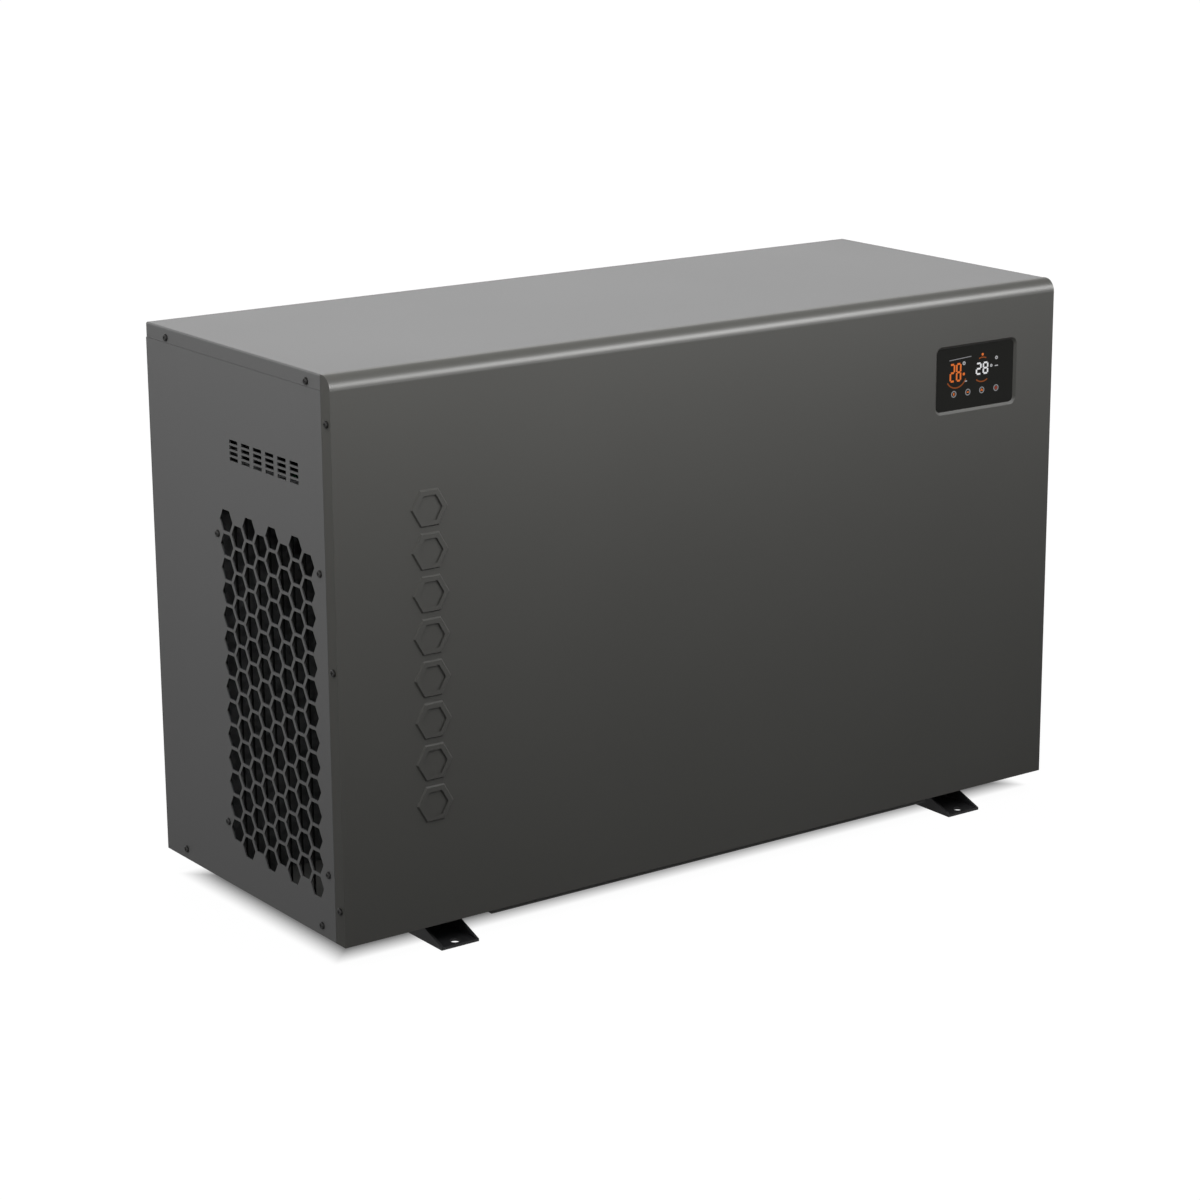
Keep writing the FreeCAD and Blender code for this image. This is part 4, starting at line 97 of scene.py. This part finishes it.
class Finish(Nodes):
    """A material: one Principled surface, with constants or patterns on its sockets."""

    def __init__(self, name, colour, roughness, **constants):
        self.material = bpy.data.materials.new(name)
        self.material.use_nodes = True
        self.material.diffuse_color = (*colour, 1)
        super().__init__(self.material.node_tree)
        self.surface = self.tree.nodes["Principled BSDF"]
        self.output = self.tree.nodes["Material Output"]
        self.surface.inputs["Base Color"].default_value = (*colour, 1)
        self.surface.inputs["Roughness"].default_value = roughness
        for label, amount in constants.items():
            self.surface.inputs[label.replace("_", " ")].default_value = amount

    def set(self, socket, amount):
        self.feed(self.surface.inputs[socket], amount)
        return self

    def place(self):
        """Object coordinates: the same metres as the frame."""
        return self.add("TexCoord", {}, out="Object")

    def noise(self, scale, detail=3.0, roughness=0.5):
        """Smooth random values from 0 to 1 with features of about 1 / scale metres."""
        return self.add("TexNoise", {}, Vector=self.place(), Scale=scale, Detail=detail, Roughness=roughness)

    def blend(self, share, first, second):
        """A colour between two others."""
        node = self.tree.nodes.new("ShaderNodeMix")
        node.data_type = "RGBA"
        self.feed(node.inputs[0], share)
        node.inputs[6].default_value = (*first, 1)
        node.inputs[7].default_value = (*second, 1)
        return Value(self, node.outputs[2])

    def vary(self, pattern, first, second, roughness, spread):
        """Let one pattern carry the colour from first to second, and the roughness up by spread."""
        self.set("Base Color", self.blend(pattern, first, second))
        return self.set("Roughness", pattern * spread + roughness)

    def bump(self, height, depth, strength):
        """Raise the surface by a height in units of depth, in metres."""
        return self.add("Bump", {}, Strength=strength, Distance=depth, Height=height)

    def on(self, *names):
        """Give this finish to CAD nodes or to new pieces."""
        for name in names:
            piece = nodes[name] if isinstance(name, str) else name
            piece.data.materials.clear()
            piece.data.materials.append(self.material)
        return self


view = bpy.context.scene
view.view_settings.view_transform = "Standard"

lens = bpy.data.cameras.new("camera")
lens.sensor_width = 36
lens.lens = 95.0
lens.shift_x = -0.0622
lens.shift_y = -0.0129
camera = bpy.data.objects.new("camera", lens)
view.collection.objects.link(camera)
camera.location = (-2.1018, -2.9169, 1.2639)
sight_line = Vector((0.57903, 0.77319, -0.25866))
camera.rotation_euler = sight_line.to_track_quat("-Z", "Y").to_euler()
view.camera = camera


def soft_light(name, place, aim, width, height, power):
    """A rectangular soft box at a place, turned to the point it aims at."""
    lamp = bpy.data.lights.new(name, "AREA")
    lamp.shape = "RECTANGLE"
    lamp.size = width
    lamp.size_y = height
    lamp.energy = power
    holder = bpy.data.objects.new(name, lamp)
    view.collection.objects.link(holder)
    holder.location = place
    holder.rotation_euler = (Vector(aim) - Vector(place)).to_track_quat("-Z", "Y").to_euler()
    return holder


overhead = soft_light("overhead", (-0.33, -0.3, 0.95), (-0.33, -0.3, 0.0), 2.4, 1.6, 23)
side_light = soft_light("side_light", (-2.0, 0.3, 1.05), (-0.5, 0.05, 0.4), 0.8, 0.8, 16.5)
back_light = soft_light("back_light", (0.9, 2.2, 1.2), (0.1, 0.2, 0.3), 1.6, 1.0, 45)
for lamp in (overhead, side_light, back_light):
    lamp.visible_glossy = False
edge_card = soft_light("edge_card", (1.15, -2.0, 1.57), (0.0, -0.15, 0.63), 2.2, 0.75, 262)
edge_card.visible_diffuse = False


def shine_on(lamp, *names):
    """Let a light reach only these nodes."""
    lamp.light_linking.receiver_collection = bpy.data.collections.new(lamp.name + "_receivers")
    for name in names:
        lamp.light_linking.receiver_collection.objects.link(nodes[name])


shine_on(edge_card, "front_panel")
shine_on(side_light, "left_panel", "top_cover", "base_pan", "foot_left", "casing_screws", "grille_screws")

studio = bpy.data.worlds.new("studio")
view.world = studio
studio.use_nodes = True
air = Nodes(studio.node_tree)
camera_ray = air.add("LightPath", {})
glossy_ray = air.add("LightPath", {}, out="Is Glossy Ray")
clear_ray = air.add("LightPath", {}, out="Is Transmission Ray")
height = air.add("SeparateXYZ", {}, air.add("TexCoord", {}, out="Generated"), out="Z")
horizon = air.add("MapRange", {"interpolation_type": "SMOOTHSTEP"}, Value=height, From_Min=0.38,
                  From_Max=0.56, To_Min=1.93, To_Max=0.05)
fill = 0.08
seen_air = camera_ray.largest(clear_ray).largest(glossy_ray * horizon).largest(fill)
wall = air.tree.nodes["Background"]
air.feed(wall.inputs["Strength"], seen_air)
wall.inputs["Color"].default_value = (1, 1, 1, 1)

# The floor is a bright glowing sheet to the camera, clear of the cabinet. Round the cabinet's footprint a
# ramp fades the glow out to the lit sheet beneath, so the shadow there is partly the lamps' real shadow and
# partly painted shadow from that ramp.
reach = 12.0
shade_half_width = 0.5
shade_half_depth = 0.175
slab = bpy.data.meshes.new("floor")
slab.from_pydata([(-reach, -reach, 0), (reach, -reach, 0), (reach, reach, 0), (-reach, reach, 0)], [],
                 [(0, 1, 2, 3)])
floor = bpy.data.objects.new("floor", slab)
view.collection.objects.link(floor)
pale = Finish("floor_white", (0.9, 0.9, 0.9), 1.0, Specular_IOR_Level=0.0)
spot = pale.place()
aside = pale.add("SeparateXYZ", {}, spot, out="X").math("ABSOLUTE") - shade_half_width
ahead = pale.add("SeparateXYZ", {}, spot, out="Y").math("ABSOLUTE") - shade_half_depth
outside = aside.largest(ahead)
# Painted shadow: the glow fades over this ramp round the footprint, baring the lit sheet and its real shadow
# beneath the cabinet.
painted_shadow_ramp = pale.add("MapRange", {}, Value=outside, From_Min=-0.038, From_Max=0.002, To_Min=0.03, To_Max=0.96)
far = pale.add("MapRange", {}, Value=outside, From_Min=0.2, From_Max=0.8)
clear = painted_shadow_ramp.largest(far)
seen = pale.add("LightPath", {}).largest(pale.add("LightPath", {}, out="Is Transmission Ray"))
mirrored = pale.add("LightPath", {}, out="Is Glossy Ray")
glow = pale.add("Emission", {}, Color=(1, 1, 1, 1), Strength=1.02)
dim = pale.add("Emission", {}, Color=(1, 1, 1, 1), Strength=0.35)
bounce = pale.add("BsdfDiffuse", {}, Color=(0.05, 0.05, 0.05, 1))
shadowed = Value(pale, pale.surface.outputs[0])
shown = pale.add("MixShader", {}, clear, shadowed, glow)
unseen = pale.add("MixShader", {}, mirrored, bounce, dim)
pale.feed(pale.output.inputs["Surface"], pale.add("MixShader", {}, seen, unseen, shown))
pale.on(floor)


# ---------------------------------------------------------------- feet and their bolts
# Two channel feet of 3 mm steel with slanted ends, powder coated black. Zinc-plated hexagon screws go up
# through their ears and the pan, each with a nut inside. The sole of a foot has an open ground bolt hole.

black_coat = Finish("black_powder_coat", (0.012, 0.012, 0.013), 0.5)
speck = black_coat.noise(1300, 2.0, 0.6)
dust = black_coat.noise(14, 4.0, 0.6)
black_coat.vary(dust, (0.008, 0.008, 0.009), (0.02, 0.02, 0.021), 0.42, 0.2)
black_coat.set("Normal", black_coat.bump(speck, 0.00006, 0.5))
black_coat.on("foot_left", "foot_right")

zinc = Finish("zinc_plate", (0.5, 0.5, 0.51), 0.35, Metallic=1.0)
stain = zinc.noise(260, 3.0, 0.55)
zinc.vary(stain, (0.4, 0.4, 0.4), (0.62, 0.61, 0.57), 0.22, 0.25)
zinc.set("Normal", zinc.bump(zinc.noise(1800, 2.0), 0.00003, 0.4))
zinc.on("foot_bolts")


# ---------------------------------------------------------------- pan, front, sides, back and cover
# Folded steel sheet 1.5 mm thick, with a satin anthracite powder coat that has a very fine orange peel. The
# front is one formed sheet; the hexagons of its ornament are pressed out of it. Screws hold every seam.

def sheet_coat(name, colour):
    """A powder coat: fine grain in the surface, and a slow drift of its tone and gloss."""
    coat = Finish(name, colour, 0.45, Specular_IOR_Level=0.2)
    drift = coat.noise(3.5, 2.0, 0.5)
    peel = coat.noise(700, 2.0, 0.5)
    dark = [0.96 * part for part in colour]
    light = [1.04 * part for part in colour]
    coat.set("Base Color", coat.blend(drift * 0.7 + peel * 0.3, dark, light))
    coat.set("Roughness", drift * 0.04 + peel * 0.04 + 0.41)
    coat.set("Normal", coat.bump(peel, 0.00005, 0.25))
    return coat


# The front's copy of the coat is a little darker and warmer than the casing's: painted shade, warmed to the
# light that falls on the front.
sheet_coat("front_powder_coat", (0.0755, 0.0745, 0.0685)).on("front_panel")
casing_coat = sheet_coat("casing_powder_coat", (0.077, 0.077, 0.077))
casing_coat.on("left_panel", "right_panel", "rear_panel", "top_cover")
# The pan's copy of the coat is painted lighter than the casing's, as painted light against the shade it
# stands in under the front panel's edge.
sheet_coat("pan_powder_coat", (0.085, 0.085, 0.082)).on("base_pan")


# ---------------------------------------------------------------- casing screws and grille screws
# Blackened pan-head screws with a crossed recess, driven through every seam of the casing, and four more
# that hold the guard. Wear varies their tone a little at random.

blacked = Finish("blackened_steel", (0.012, 0.012, 0.012), 0.42, Metallic=0.4)
rub = blacked.noise(420, 3.0, 0.6)
blacked.vary(rub, (0.008, 0.008, 0.008), (0.03, 0.029, 0.028), 0.3, 0.3)
blacked.set("Normal", blacked.bump(rub, 0.00004, 0.4))
blacked.on("casing_screws", "grille_screws")


# ---------------------------------------------------------------- guard behind the left grille
# A punched steel frame with upright wires welded across it, which keeps fingers from the fan. It is dipped
# in dull black paint, made darker than real paint as painted shade for the dark inside behind the grille;
# the paint runs a little thicker in places.

# Painted shade: the paint's colour is set near zero, so the guard reads as the dark inside behind the
# grille.
dip_and_painted_shade = Finish("dip_paint", (0.004, 0.004, 0.004), 0.6, Specular_IOR_Level=0.05)
run = dip_and_painted_shade.noise(120, 3.0, 0.5)
dip_and_painted_shade.vary(run, (0.002, 0.002, 0.002), (0.005, 0.005, 0.005), 0.52, 0.2)
dip_and_painted_shade.set("Normal", dip_and_painted_shade.bump(run, 0.00012, 0.35))
dip_and_painted_shade.on("outlet_guard")


# ---------------------------------------------------------------- inner plates and the electrical box
# Galvanised sheet, its tone darkened as painted shade for the dark inside the cabinet: zinc crystals a few
# millimetres wide, each of its own tone. The partition, bulkhead, bell mouth, brackets, end plates and the
# tray under the cover are folded from it.

shade_darkened_galvanised = Finish("galvanised_sheet", (0.17, 0.175, 0.18), 0.5, Metallic=0.75)
crystal = shade_darkened_galvanised.add("TexVoronoi", {}, Vector=shade_darkened_galvanised.place(), Scale=170.0, out="Color")
spangle = shade_darkened_galvanised.add("SeparateColor", {}, crystal)
cloud = shade_darkened_galvanised.noise(22, 3.0, 0.55)
mottle = spangle * 0.7 + cloud * 0.3
# Painted shade: both ends of this blend lie well below bright zinc, for the shade inside the cabinet.
shade_darkened_galvanised.set("Base Color", shade_darkened_galvanised.blend(mottle, (0.12, 0.124, 0.128), (0.23, 0.235, 0.24)))
shade_darkened_galvanised.set("Roughness", spangle * 0.2 + cloud * 0.1 + 0.38)
shade_darkened_galvanised.set("Normal", shade_darkened_galvanised.bump(spangle, 0.00002, 0.3))
shade_darkened_galvanised.on("partition_plate", "fan_bulkhead", "bell_mouth", "fan_motor_bracket", "electrical_box",
              "electrical_lid", "evaporator_end_plates", "accumulator_bracket", "compressor_base_plate")


# ---------------------------------------------------------------- fan wheel, its motor and its shaft
# A moulded black wheel with backward-curved blades, on the shaft of a motor in a ribbed cast case. The wheel
# is drawn on to its shaft by a plated nut.

moulding = Finish("moulded_black_nylon", (0.02, 0.02, 0.021), 0.5)
glass_fibre = moulding.noise(500, 4.0, 0.7)
moulding.vary(glass_fibre, (0.014, 0.014, 0.015), (0.03, 0.03, 0.031), 0.38, 0.25)
moulding.set("Normal", moulding.bump(glass_fibre, 0.00005, 0.4))
moulding.on("fan_impeller")

cast = Finish("cast_aluminium", (0.4, 0.4, 0.41), 0.5, Metallic=0.9)
pits = cast.noise(380, 4.0, 0.65)
cast.vary(pits, (0.3, 0.3, 0.31), (0.48, 0.48, 0.49), 0.38, 0.25)
cast.set("Normal", cast.bump(pits, 0.00015, 0.5))
cast.on("fan_motor", "heat_sink")

zinc.on("fan_shaft", "fan_nut", "fan_motor_bolts", "compressor_studs")


# ---------------------------------------------------------------- evaporator
# Some 340 thin aluminium fins with a blue water-shedding coat, each pressed into waves from front to back.
# The fins sit between two galvanised end plates, and copper hairpins with brazed bends pass through them.

fin_low, fin_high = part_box("evaporator_fins")
fin_pitch = 0.0018
fin_sheet = 0.00016
fold_height = 0.0004
folds = 12


def fin_block(low, high):
    """Parallel upright fins. Each is a strip with a station at every fold, which stands fold_height to one
    side and then to the other; the strip's section at a station is a rectangle as thick as the sheet and as
    tall as the block."""
    margin = fold_height + fin_sheet
    count = int((high.x - low.x - 2 * margin) / fin_pitch) + 1
    centre = np.linspace(low.x + margin, high.x - margin, count)
    depth = np.linspace(low.y, high.y, folds + 1)
    sway = fold_height * (1 - 2 * (np.arange(folds + 1) % 2))
    side = np.array([-0.5, 0.5, 0.5, -0.5]) * fin_sheet
    rise = np.array([low.z, low.z, high.z, high.z])
    x = centre[:, None, None] + sway[None, :, None] + side[None, None, :]
    y = np.broadcast_to(depth[None, :, None], x.shape)
    z = np.broadcast_to(rise[None, None, :], x.shape)
    points = np.stack([x, y, z], -1).reshape(-1, 3)
    corner = np.arange(4)
    here = np.arange(folds)[:, None] * 4
    after = (corner + 1) % 4
    band = np.stack([here + corner, here + 4 + corner, here + 4 + after, here + after], -1)
    ends = np.array([[0, 1, 2, 3], [3, 2, 1, 0]]) + np.array([[0], [folds * 4]])
    strip = np.vstack([band.reshape(-1, 4), ends])
    quads = (strip[None] + (np.arange(count) * (folds + 1) * 4)[:, None, None]).reshape(-1, 4)
    mesh = bpy.data.meshes.new("fin_block")
    mesh.from_pydata(points.tolist(), [], quads.tolist())
    return mesh


fins = bpy.data.objects.new("fin_block", fin_block(fin_low, fin_high))
view.collection.objects.link(fins)
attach(fins, "cabinet")
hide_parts("evaporator_fins")
blue = Finish("blue_fin_coat", (0.2, 0.36, 0.52), 0.4, Metallic=0.6)
tone = blue.noise(30, 3.0, 0.6)
blue.vary(tone, (0.14, 0.28, 0.42), (0.26, 0.43, 0.58), 0.32, 0.2)
blue.on(fins)

copper = Finish("drawn_copper", (0.6, 0.27, 0.15), 0.3, Metallic=1.0)
tarnish = copper.noise(55, 4.0, 0.65)
copper.vary(tarnish, (0.66, 0.3, 0.17), (0.33, 0.15, 0.085), 0.2, 0.35)
copper.set("Normal", copper.bump(copper.noise(900, 2.0), 0.00003, 0.3))
copper.on("evaporator_hairpins", "evaporator_return_bends", "coil_headers")


# ---------------------------------------------------------------- compressor and suction accumulator
# Welded steel shells in thick black enamel. The compressor's ears stand on rubber grommets over studs in
# the pan; a moulded cap covers its terminals.

enamel = Finish("black_enamel", (0.015, 0.015, 0.016), 0.25)
sag = enamel.noise(60, 3.0, 0.5)
enamel.vary(sag, (0.01, 0.01, 0.011), (0.022, 0.022, 0.023), 0.18, 0.2)
enamel.set("Normal", enamel.bump(sag, 0.0003, 0.25))
enamel.on("compressor_shell", "suction_accumulator")

rubber = Finish("moulded_rubber", (0.018, 0.018, 0.018), 0.8)
bloom = rubber.noise(160, 4.0, 0.6)
rubber.vary(bloom, (0.012, 0.012, 0.012), (0.032, 0.032, 0.031), 0.68, 0.2)
rubber.set("Normal", rubber.bump(bloom, 0.0001, 0.4))
rubber.on("compressor_grommets", "union_seals")


# ---------------------------------------------------------------- refrigerant pipes and valves
# Hard copper tube bent round formers and brazed into a brass four-way valve and a brass expansion valve.
# The four-way valve's solenoid is potted in black resin.

copper.on("discharge_pipe", "suction_pipe", "gas_pipe", "coil_pipe", "liquid_pipes")

brass = Finish("machined_brass", (0.6, 0.45, 0.19), 0.3, Metallic=1.0)
turning = brass.noise(300, 3.0, 0.6)
brass.vary(turning, (0.68, 0.5, 0.22), (0.42, 0.31, 0.13), 0.2, 0.25)
brass.set("Normal", brass.bump(turning, 0.00004, 0.4))
brass.on("four_way_valve", "expansion_valve")


# ---------------------------------------------------------------- water heat exchanger and flow switch
# A grey glass-filled vessel with the titanium coil sealed inside it, and a black flow switch screwed into
# its lower stub, whose paddle hangs in the water way.

vessel = Finish("glass_filled_vessel", (0.22, 0.23, 0.24), 0.5)
strand = vessel.noise(240, 4.0, 0.65)
vessel.vary(strand, (0.18, 0.19, 0.2), (0.28, 0.29, 0.3), 0.42, 0.2)
vessel.set("Normal", vessel.bump(strand, 0.0001, 0.4))
vessel.on("heat_exchanger_shell")

titanium = Finish("titanium_tube", (0.36, 0.34, 0.33), 0.35, Metallic=1.0)
heat = titanium.noise(40, 3.0, 0.6)
titanium.vary(heat, (0.42, 0.4, 0.38), (0.27, 0.26, 0.29), 0.28, 0.2)
titanium.on("titanium_coil")

plastic = Finish("moulded_black_plastic", (0.028, 0.028, 0.028), 0.5)
spark = plastic.noise(1500, 2.0, 0.6)
flow = plastic.noise(45, 3.0, 0.5)
plastic.set("Base Color", plastic.blend(flow, (0.022, 0.022, 0.022), (0.036, 0.036, 0.036)))
plastic.set("Roughness", flow * 0.12 + spark * 0.1 + 0.4)
plastic.set("Normal", plastic.bump(spark, 0.00006, 0.45))
plastic.on("flow_switch_body", "flow_switch_paddle", "compressor_terminal_cover", "valve_solenoid")


# ---------------------------------------------------------------- water unions
# Pool fittings of injection-moulded PVC: a threaded body through the rear panel, a flat rubber seal, a tail
# with a socket for 50 mm pipe, and a ribbed nut that turns freely and draws the tail on to the seal.

pvc = Finish("grey_pvc", (0.07, 0.071, 0.074), 0.36)
skin = pvc.noise(900, 2.0, 0.5)
weld = pvc.noise(26, 3.0, 0.55)
pvc.set("Base Color", pvc.blend(weld, (0.058, 0.059, 0.062), (0.088, 0.089, 0.093)))
pvc.set("Roughness", weld * 0.14 + skin * 0.06 + 0.28)
pvc.set("Normal", pvc.bump(skin, 0.00005, 0.35))
pvc.on("union_bodies", "union_tails")

nut_plastic = Finish("ribbed_nut_plastic", (0.026, 0.026, 0.028), 0.42)
skin = nut_plastic.noise(1100, 2.0, 0.55)
weld = nut_plastic.noise(34, 3.0, 0.55)
nut_plastic.set("Base Color", nut_plastic.blend(weld, (0.02, 0.02, 0.022), (0.036, 0.036, 0.038)))
nut_plastic.set("Roughness", weld * 0.16 + skin * 0.06 + 0.32)
nut_plastic.set("Normal", nut_plastic.bump(skin, 0.00006, 0.4))
nut_plastic.on("inlet_union_nut", "outlet_union_nut")


# ---------------------------------------------------------------- cable glands and condensate spigot
# Moulded black polyamide. Two compression glands sit in holes of the rear panel, for the supply and control
# cables, and a spigot for condensate sits in a hole of the pan.

plastic.on("cable_glands", "drain_spigot")


# ---------------------------------------------------------------- circuit boards and reactor
# Green solder mask over copper tracks, which show as fine raised lines. The reactor's stacked laminations
# are dipped in brown varnish.

mask = Finish("solder_mask", (0.02, 0.16, 0.07), 0.3)
track = mask.add("TexBrick", {}, Vector=mask.place(), Scale=160.0, Mortar_Size=0.03, out="Fac")
mask.vary(track, (0.015, 0.13, 0.055), (0.05, 0.26, 0.11), 0.25, 0.15)
mask.set("Normal", mask.bump(track, 0.00004, 0.4))
mask.on("circuit_boards")

varnish = Finish("brown_varnish", (0.22, 0.1, 0.045), 0.3)
lamination = varnish.add("TexWave", {"bands_direction": "Z"}, Vector=varnish.place(), Scale=300.0,
                         Distortion=0.4, out="Fac")
varnish.vary(lamination, (0.15, 0.065, 0.03), (0.28, 0.13, 0.06), 0.25, 0.2)
varnish.set("Normal", varnish.bump(lamination, 0.0001, 0.5))
varnish.on("reactor")


# ---------------------------------------------------------------- display
# Smoked glass behind the panel's drawn rim. Numbers and marks are lit through it: the water's temperature in
# orange, the set temperature in white between two arcs, and a row of four touch keys.

glass = Finish("smoked_glass", (0.0135, 0.0135, 0.0118), 0.09, Specular_IOR_Level=0.24)
wipe = glass.noise(18, 3.0, 0.6)
glass.set("Roughness", wipe * 0.07 + 0.06)
glass.on("display_glass")
plastic.on("display_housing")
backing = Finish("display_backing", (0.01, 0.01, 0.012), 0.3)
backing.set("Roughness", backing.noise(60) * 0.2 + 0.2)
backing.on("display_panel")

glass_low, glass_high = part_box("display_glass")
screen_x = (glass_low.x + glass_high.x) / 2
screen_z = (glass_low.z + glass_high.z) / 2
mark_gap = 0.00002
mark_depth = 0.0002


def lit_strokes(name, strokes, width, finish):
    """Flat strokes on the glass, in millimetres from its middle. A stroke is a row of points; its section, a
    rectangle as wide as the stroke and mark_depth deep, is carried along it: each point moves half the width
    to both sides, square to the line through its neighbours. A stroke that ends where it starts is closed,
    others are capped."""
    points = []
    quads = []
    used = 0
    for stroke in strokes:
        line = np.asarray(stroke, float) / 1000
        ring = np.allclose(line[0], line[-1])
        if ring:
            line = line[:-1]
            run = np.roll(line, -1, 0) - np.roll(line, 1, 0)
        else:
            run = np.gradient(line, axis=0)
        run /= np.linalg.norm(run, axis=1)[:, None]
        square = np.stack([-run[:, 1], run[:, 0]], -1) * width / 2000
        flat = np.stack([line + square, line - square, line - square, line + square], 1)
        depth = glass_low.y - mark_gap - mark_depth * np.array([1, 1, 0, 0])
        shape = np.stack([flat[..., 0] + screen_x, np.broadcast_to(depth, flat.shape[:2]),
                          flat[..., 1] + screen_z], -1)
        corner = np.arange(4)
        after = (corner + 1) % 4
        here = np.arange(len(line) if ring else len(line) - 1)[:, None]
        there = (here + 1) % len(line)
        band = np.stack([here * 4 + corner, there * 4 + corner, there * 4 + after, here * 4 + after], -1)
        faces = band.reshape(-1, 4)
        if not ring:
            caps = np.array([[0, 1, 2, 3], [3, 2, 1, 0]]) + np.array([[0], [(len(line) - 1) * 4]])
            faces = np.vstack([faces, caps])
        points.append(shape.reshape(-1, 3))
        quads.append(faces + used)
        used += len(line) * 4
    mesh = bpy.data.meshes.new(name)
    mesh.from_pydata(np.vstack(points).tolist(), [], np.vstack(quads).tolist())
    form = bmesh.new()
    form.from_mesh(mesh)
    bmesh.ops.recalc_face_normals(form, faces=form.faces)
    form.to_mesh(mesh)
    form.free()
    piece = bpy.data.objects.new(name, mesh)
    view.collection.objects.link(piece)
    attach(piece, "cabinet")
    finish.on(piece)
    return piece


def segments(digit, left, low, wide, tall, width):
    """The straight strokes of a seven-segment digit, a 2 or an 8, whose box starts at left and low. Each
    stroke stops short of the box's corner by a third of its own width."""
    gap = width * 0.35
    right, middle, top = left + wide, low + tall / 2, low + tall
    lines = {
        "top": [(left + gap, top), (right - gap, top)],
        "middle": [(left + gap, middle), (right - gap, middle)],
        "bottom": [(left + gap, low), (right - gap, low)],
        "upper left": [(left, middle + gap), (left, top - gap)],
        "upper right": [(right, middle + gap), (right, top - gap)],
        "lower left": [(left, low + gap), (left, middle - gap)],
        "lower right": [(right, low + gap), (right, middle - gap)],
    }
    dark = {"2": ("upper left", "lower right"), "8": ()}[digit]
    return [line for place, line in lines.items() if place not in dark]


def number(text, left, low, pitch, wide, tall, width):
    """The strokes of several digits side by side."""
    return [line for index, digit in enumerate(text)
            for line in segments(digit, left + index * pitch, low, wide, tall, width)]


def arc(across, up, radius, start, end, steps=20):
    """Points on a circle between two angles in degrees."""
    angle = np.radians(np.linspace(start, end, steps))
    return np.stack([across + radius * np.cos(angle), up + radius * np.sin(angle)], -1)


def lit(name, colour):
    """A lit mark: its own light, a little uneven as a diffuser makes it."""
    glow = Finish(name, (0.0, 0.0, 0.0), 0.4, Specular_IOR_Level=0.1, Emission_Strength=1.0)
    dim = [0.82 * part for part in colour]
    return glow.set("Emission Color", glow.blend(glow.noise(900, 2.0), dim, colour))


orange = lit("lit_orange", (0.75, 0.17, 0.03))
amber = lit("lit_amber", (0.24, 0.06, 0.012))
white = lit("lit_white", (0.78, 0.78, 0.8))
grey = lit("lit_grey", (0.24, 0.24, 0.25))
pale_grey = lit("lit_pale_grey", (0.42, 0.42, 0.43))
red = lit("lit_red", (0.3, 0.05, 0.03))
water_digits = number("28", left=-38.65, low=-2.65, pitch=9.8, wide=6.1, tall=19.9, width=2.2)
lit_strokes("water_temperature", water_digits, 2.2, orange)
set_digits = number("28", left=2.3, low=1.6, pitch=10.8, wide=6.7, tall=12.6, width=2.0)
lit_strokes("set_temperature", set_digits, 2.0, white)
lit_strokes("dial_arcs", [arc(-29.5, 5.5, 16.5, 215, 335), arc(11.3, 6.5, 14.5, 66, 112),
                          arc(11.3, 6.5, 14.5, 232, 304)], 1.5, amber)
lit_strokes("dial_dots", [arc(-17.7, 4.3, 1.0, 0, 360), arc(11.5, 24.5, 0.9, 0, 360)], 1.5, orange)
lit_strokes("status_line", [[(-40.5, 22.5), (-6.5, 24.2)]], 0.9, grey)
lit_strokes("unit_marks", [arc(-17.6, 17.2, 1.6, 0, 360), arc(25.6, 9.6, 1.2, 0, 360),
                           [(31.2, 8.6), (36.2, 8.6)], arc(33.6, 18.2, 1.5, 0, 360),
                           [(-16.0, -4.6), (-12.4, -4.6)]], 1.3, pale_grey)
keys = (-32.7, -10.7, 11.3, 33.9)
key_row = -18.2
key_radius = 3.4
bar_key, dash_key, arrow_key, power_key = keys
lit_strokes("touch_rings", [arc(across, key_row, key_radius, 0, 360, 33) for across in keys], 1.2, grey)
bar = [(bar_key, key_row - 1.6), (bar_key, key_row + 1.6)]
dash = [(dash_key - 1.5, key_row), (dash_key + 1.5, key_row)]
arrow = [(arrow_key - 1.5, key_row - 1), (arrow_key, key_row + 1.2), (arrow_key + 1.5, key_row - 1)]
lit_strokes("touch_marks", [bar, dash, arrow], 1.3, orange)
power = [arc(power_key, key_row, 1.5, 120, 420), [(power_key, key_row), (power_key, key_row + 2)]]
lit_strokes("power_mark", power, 1.0, red)
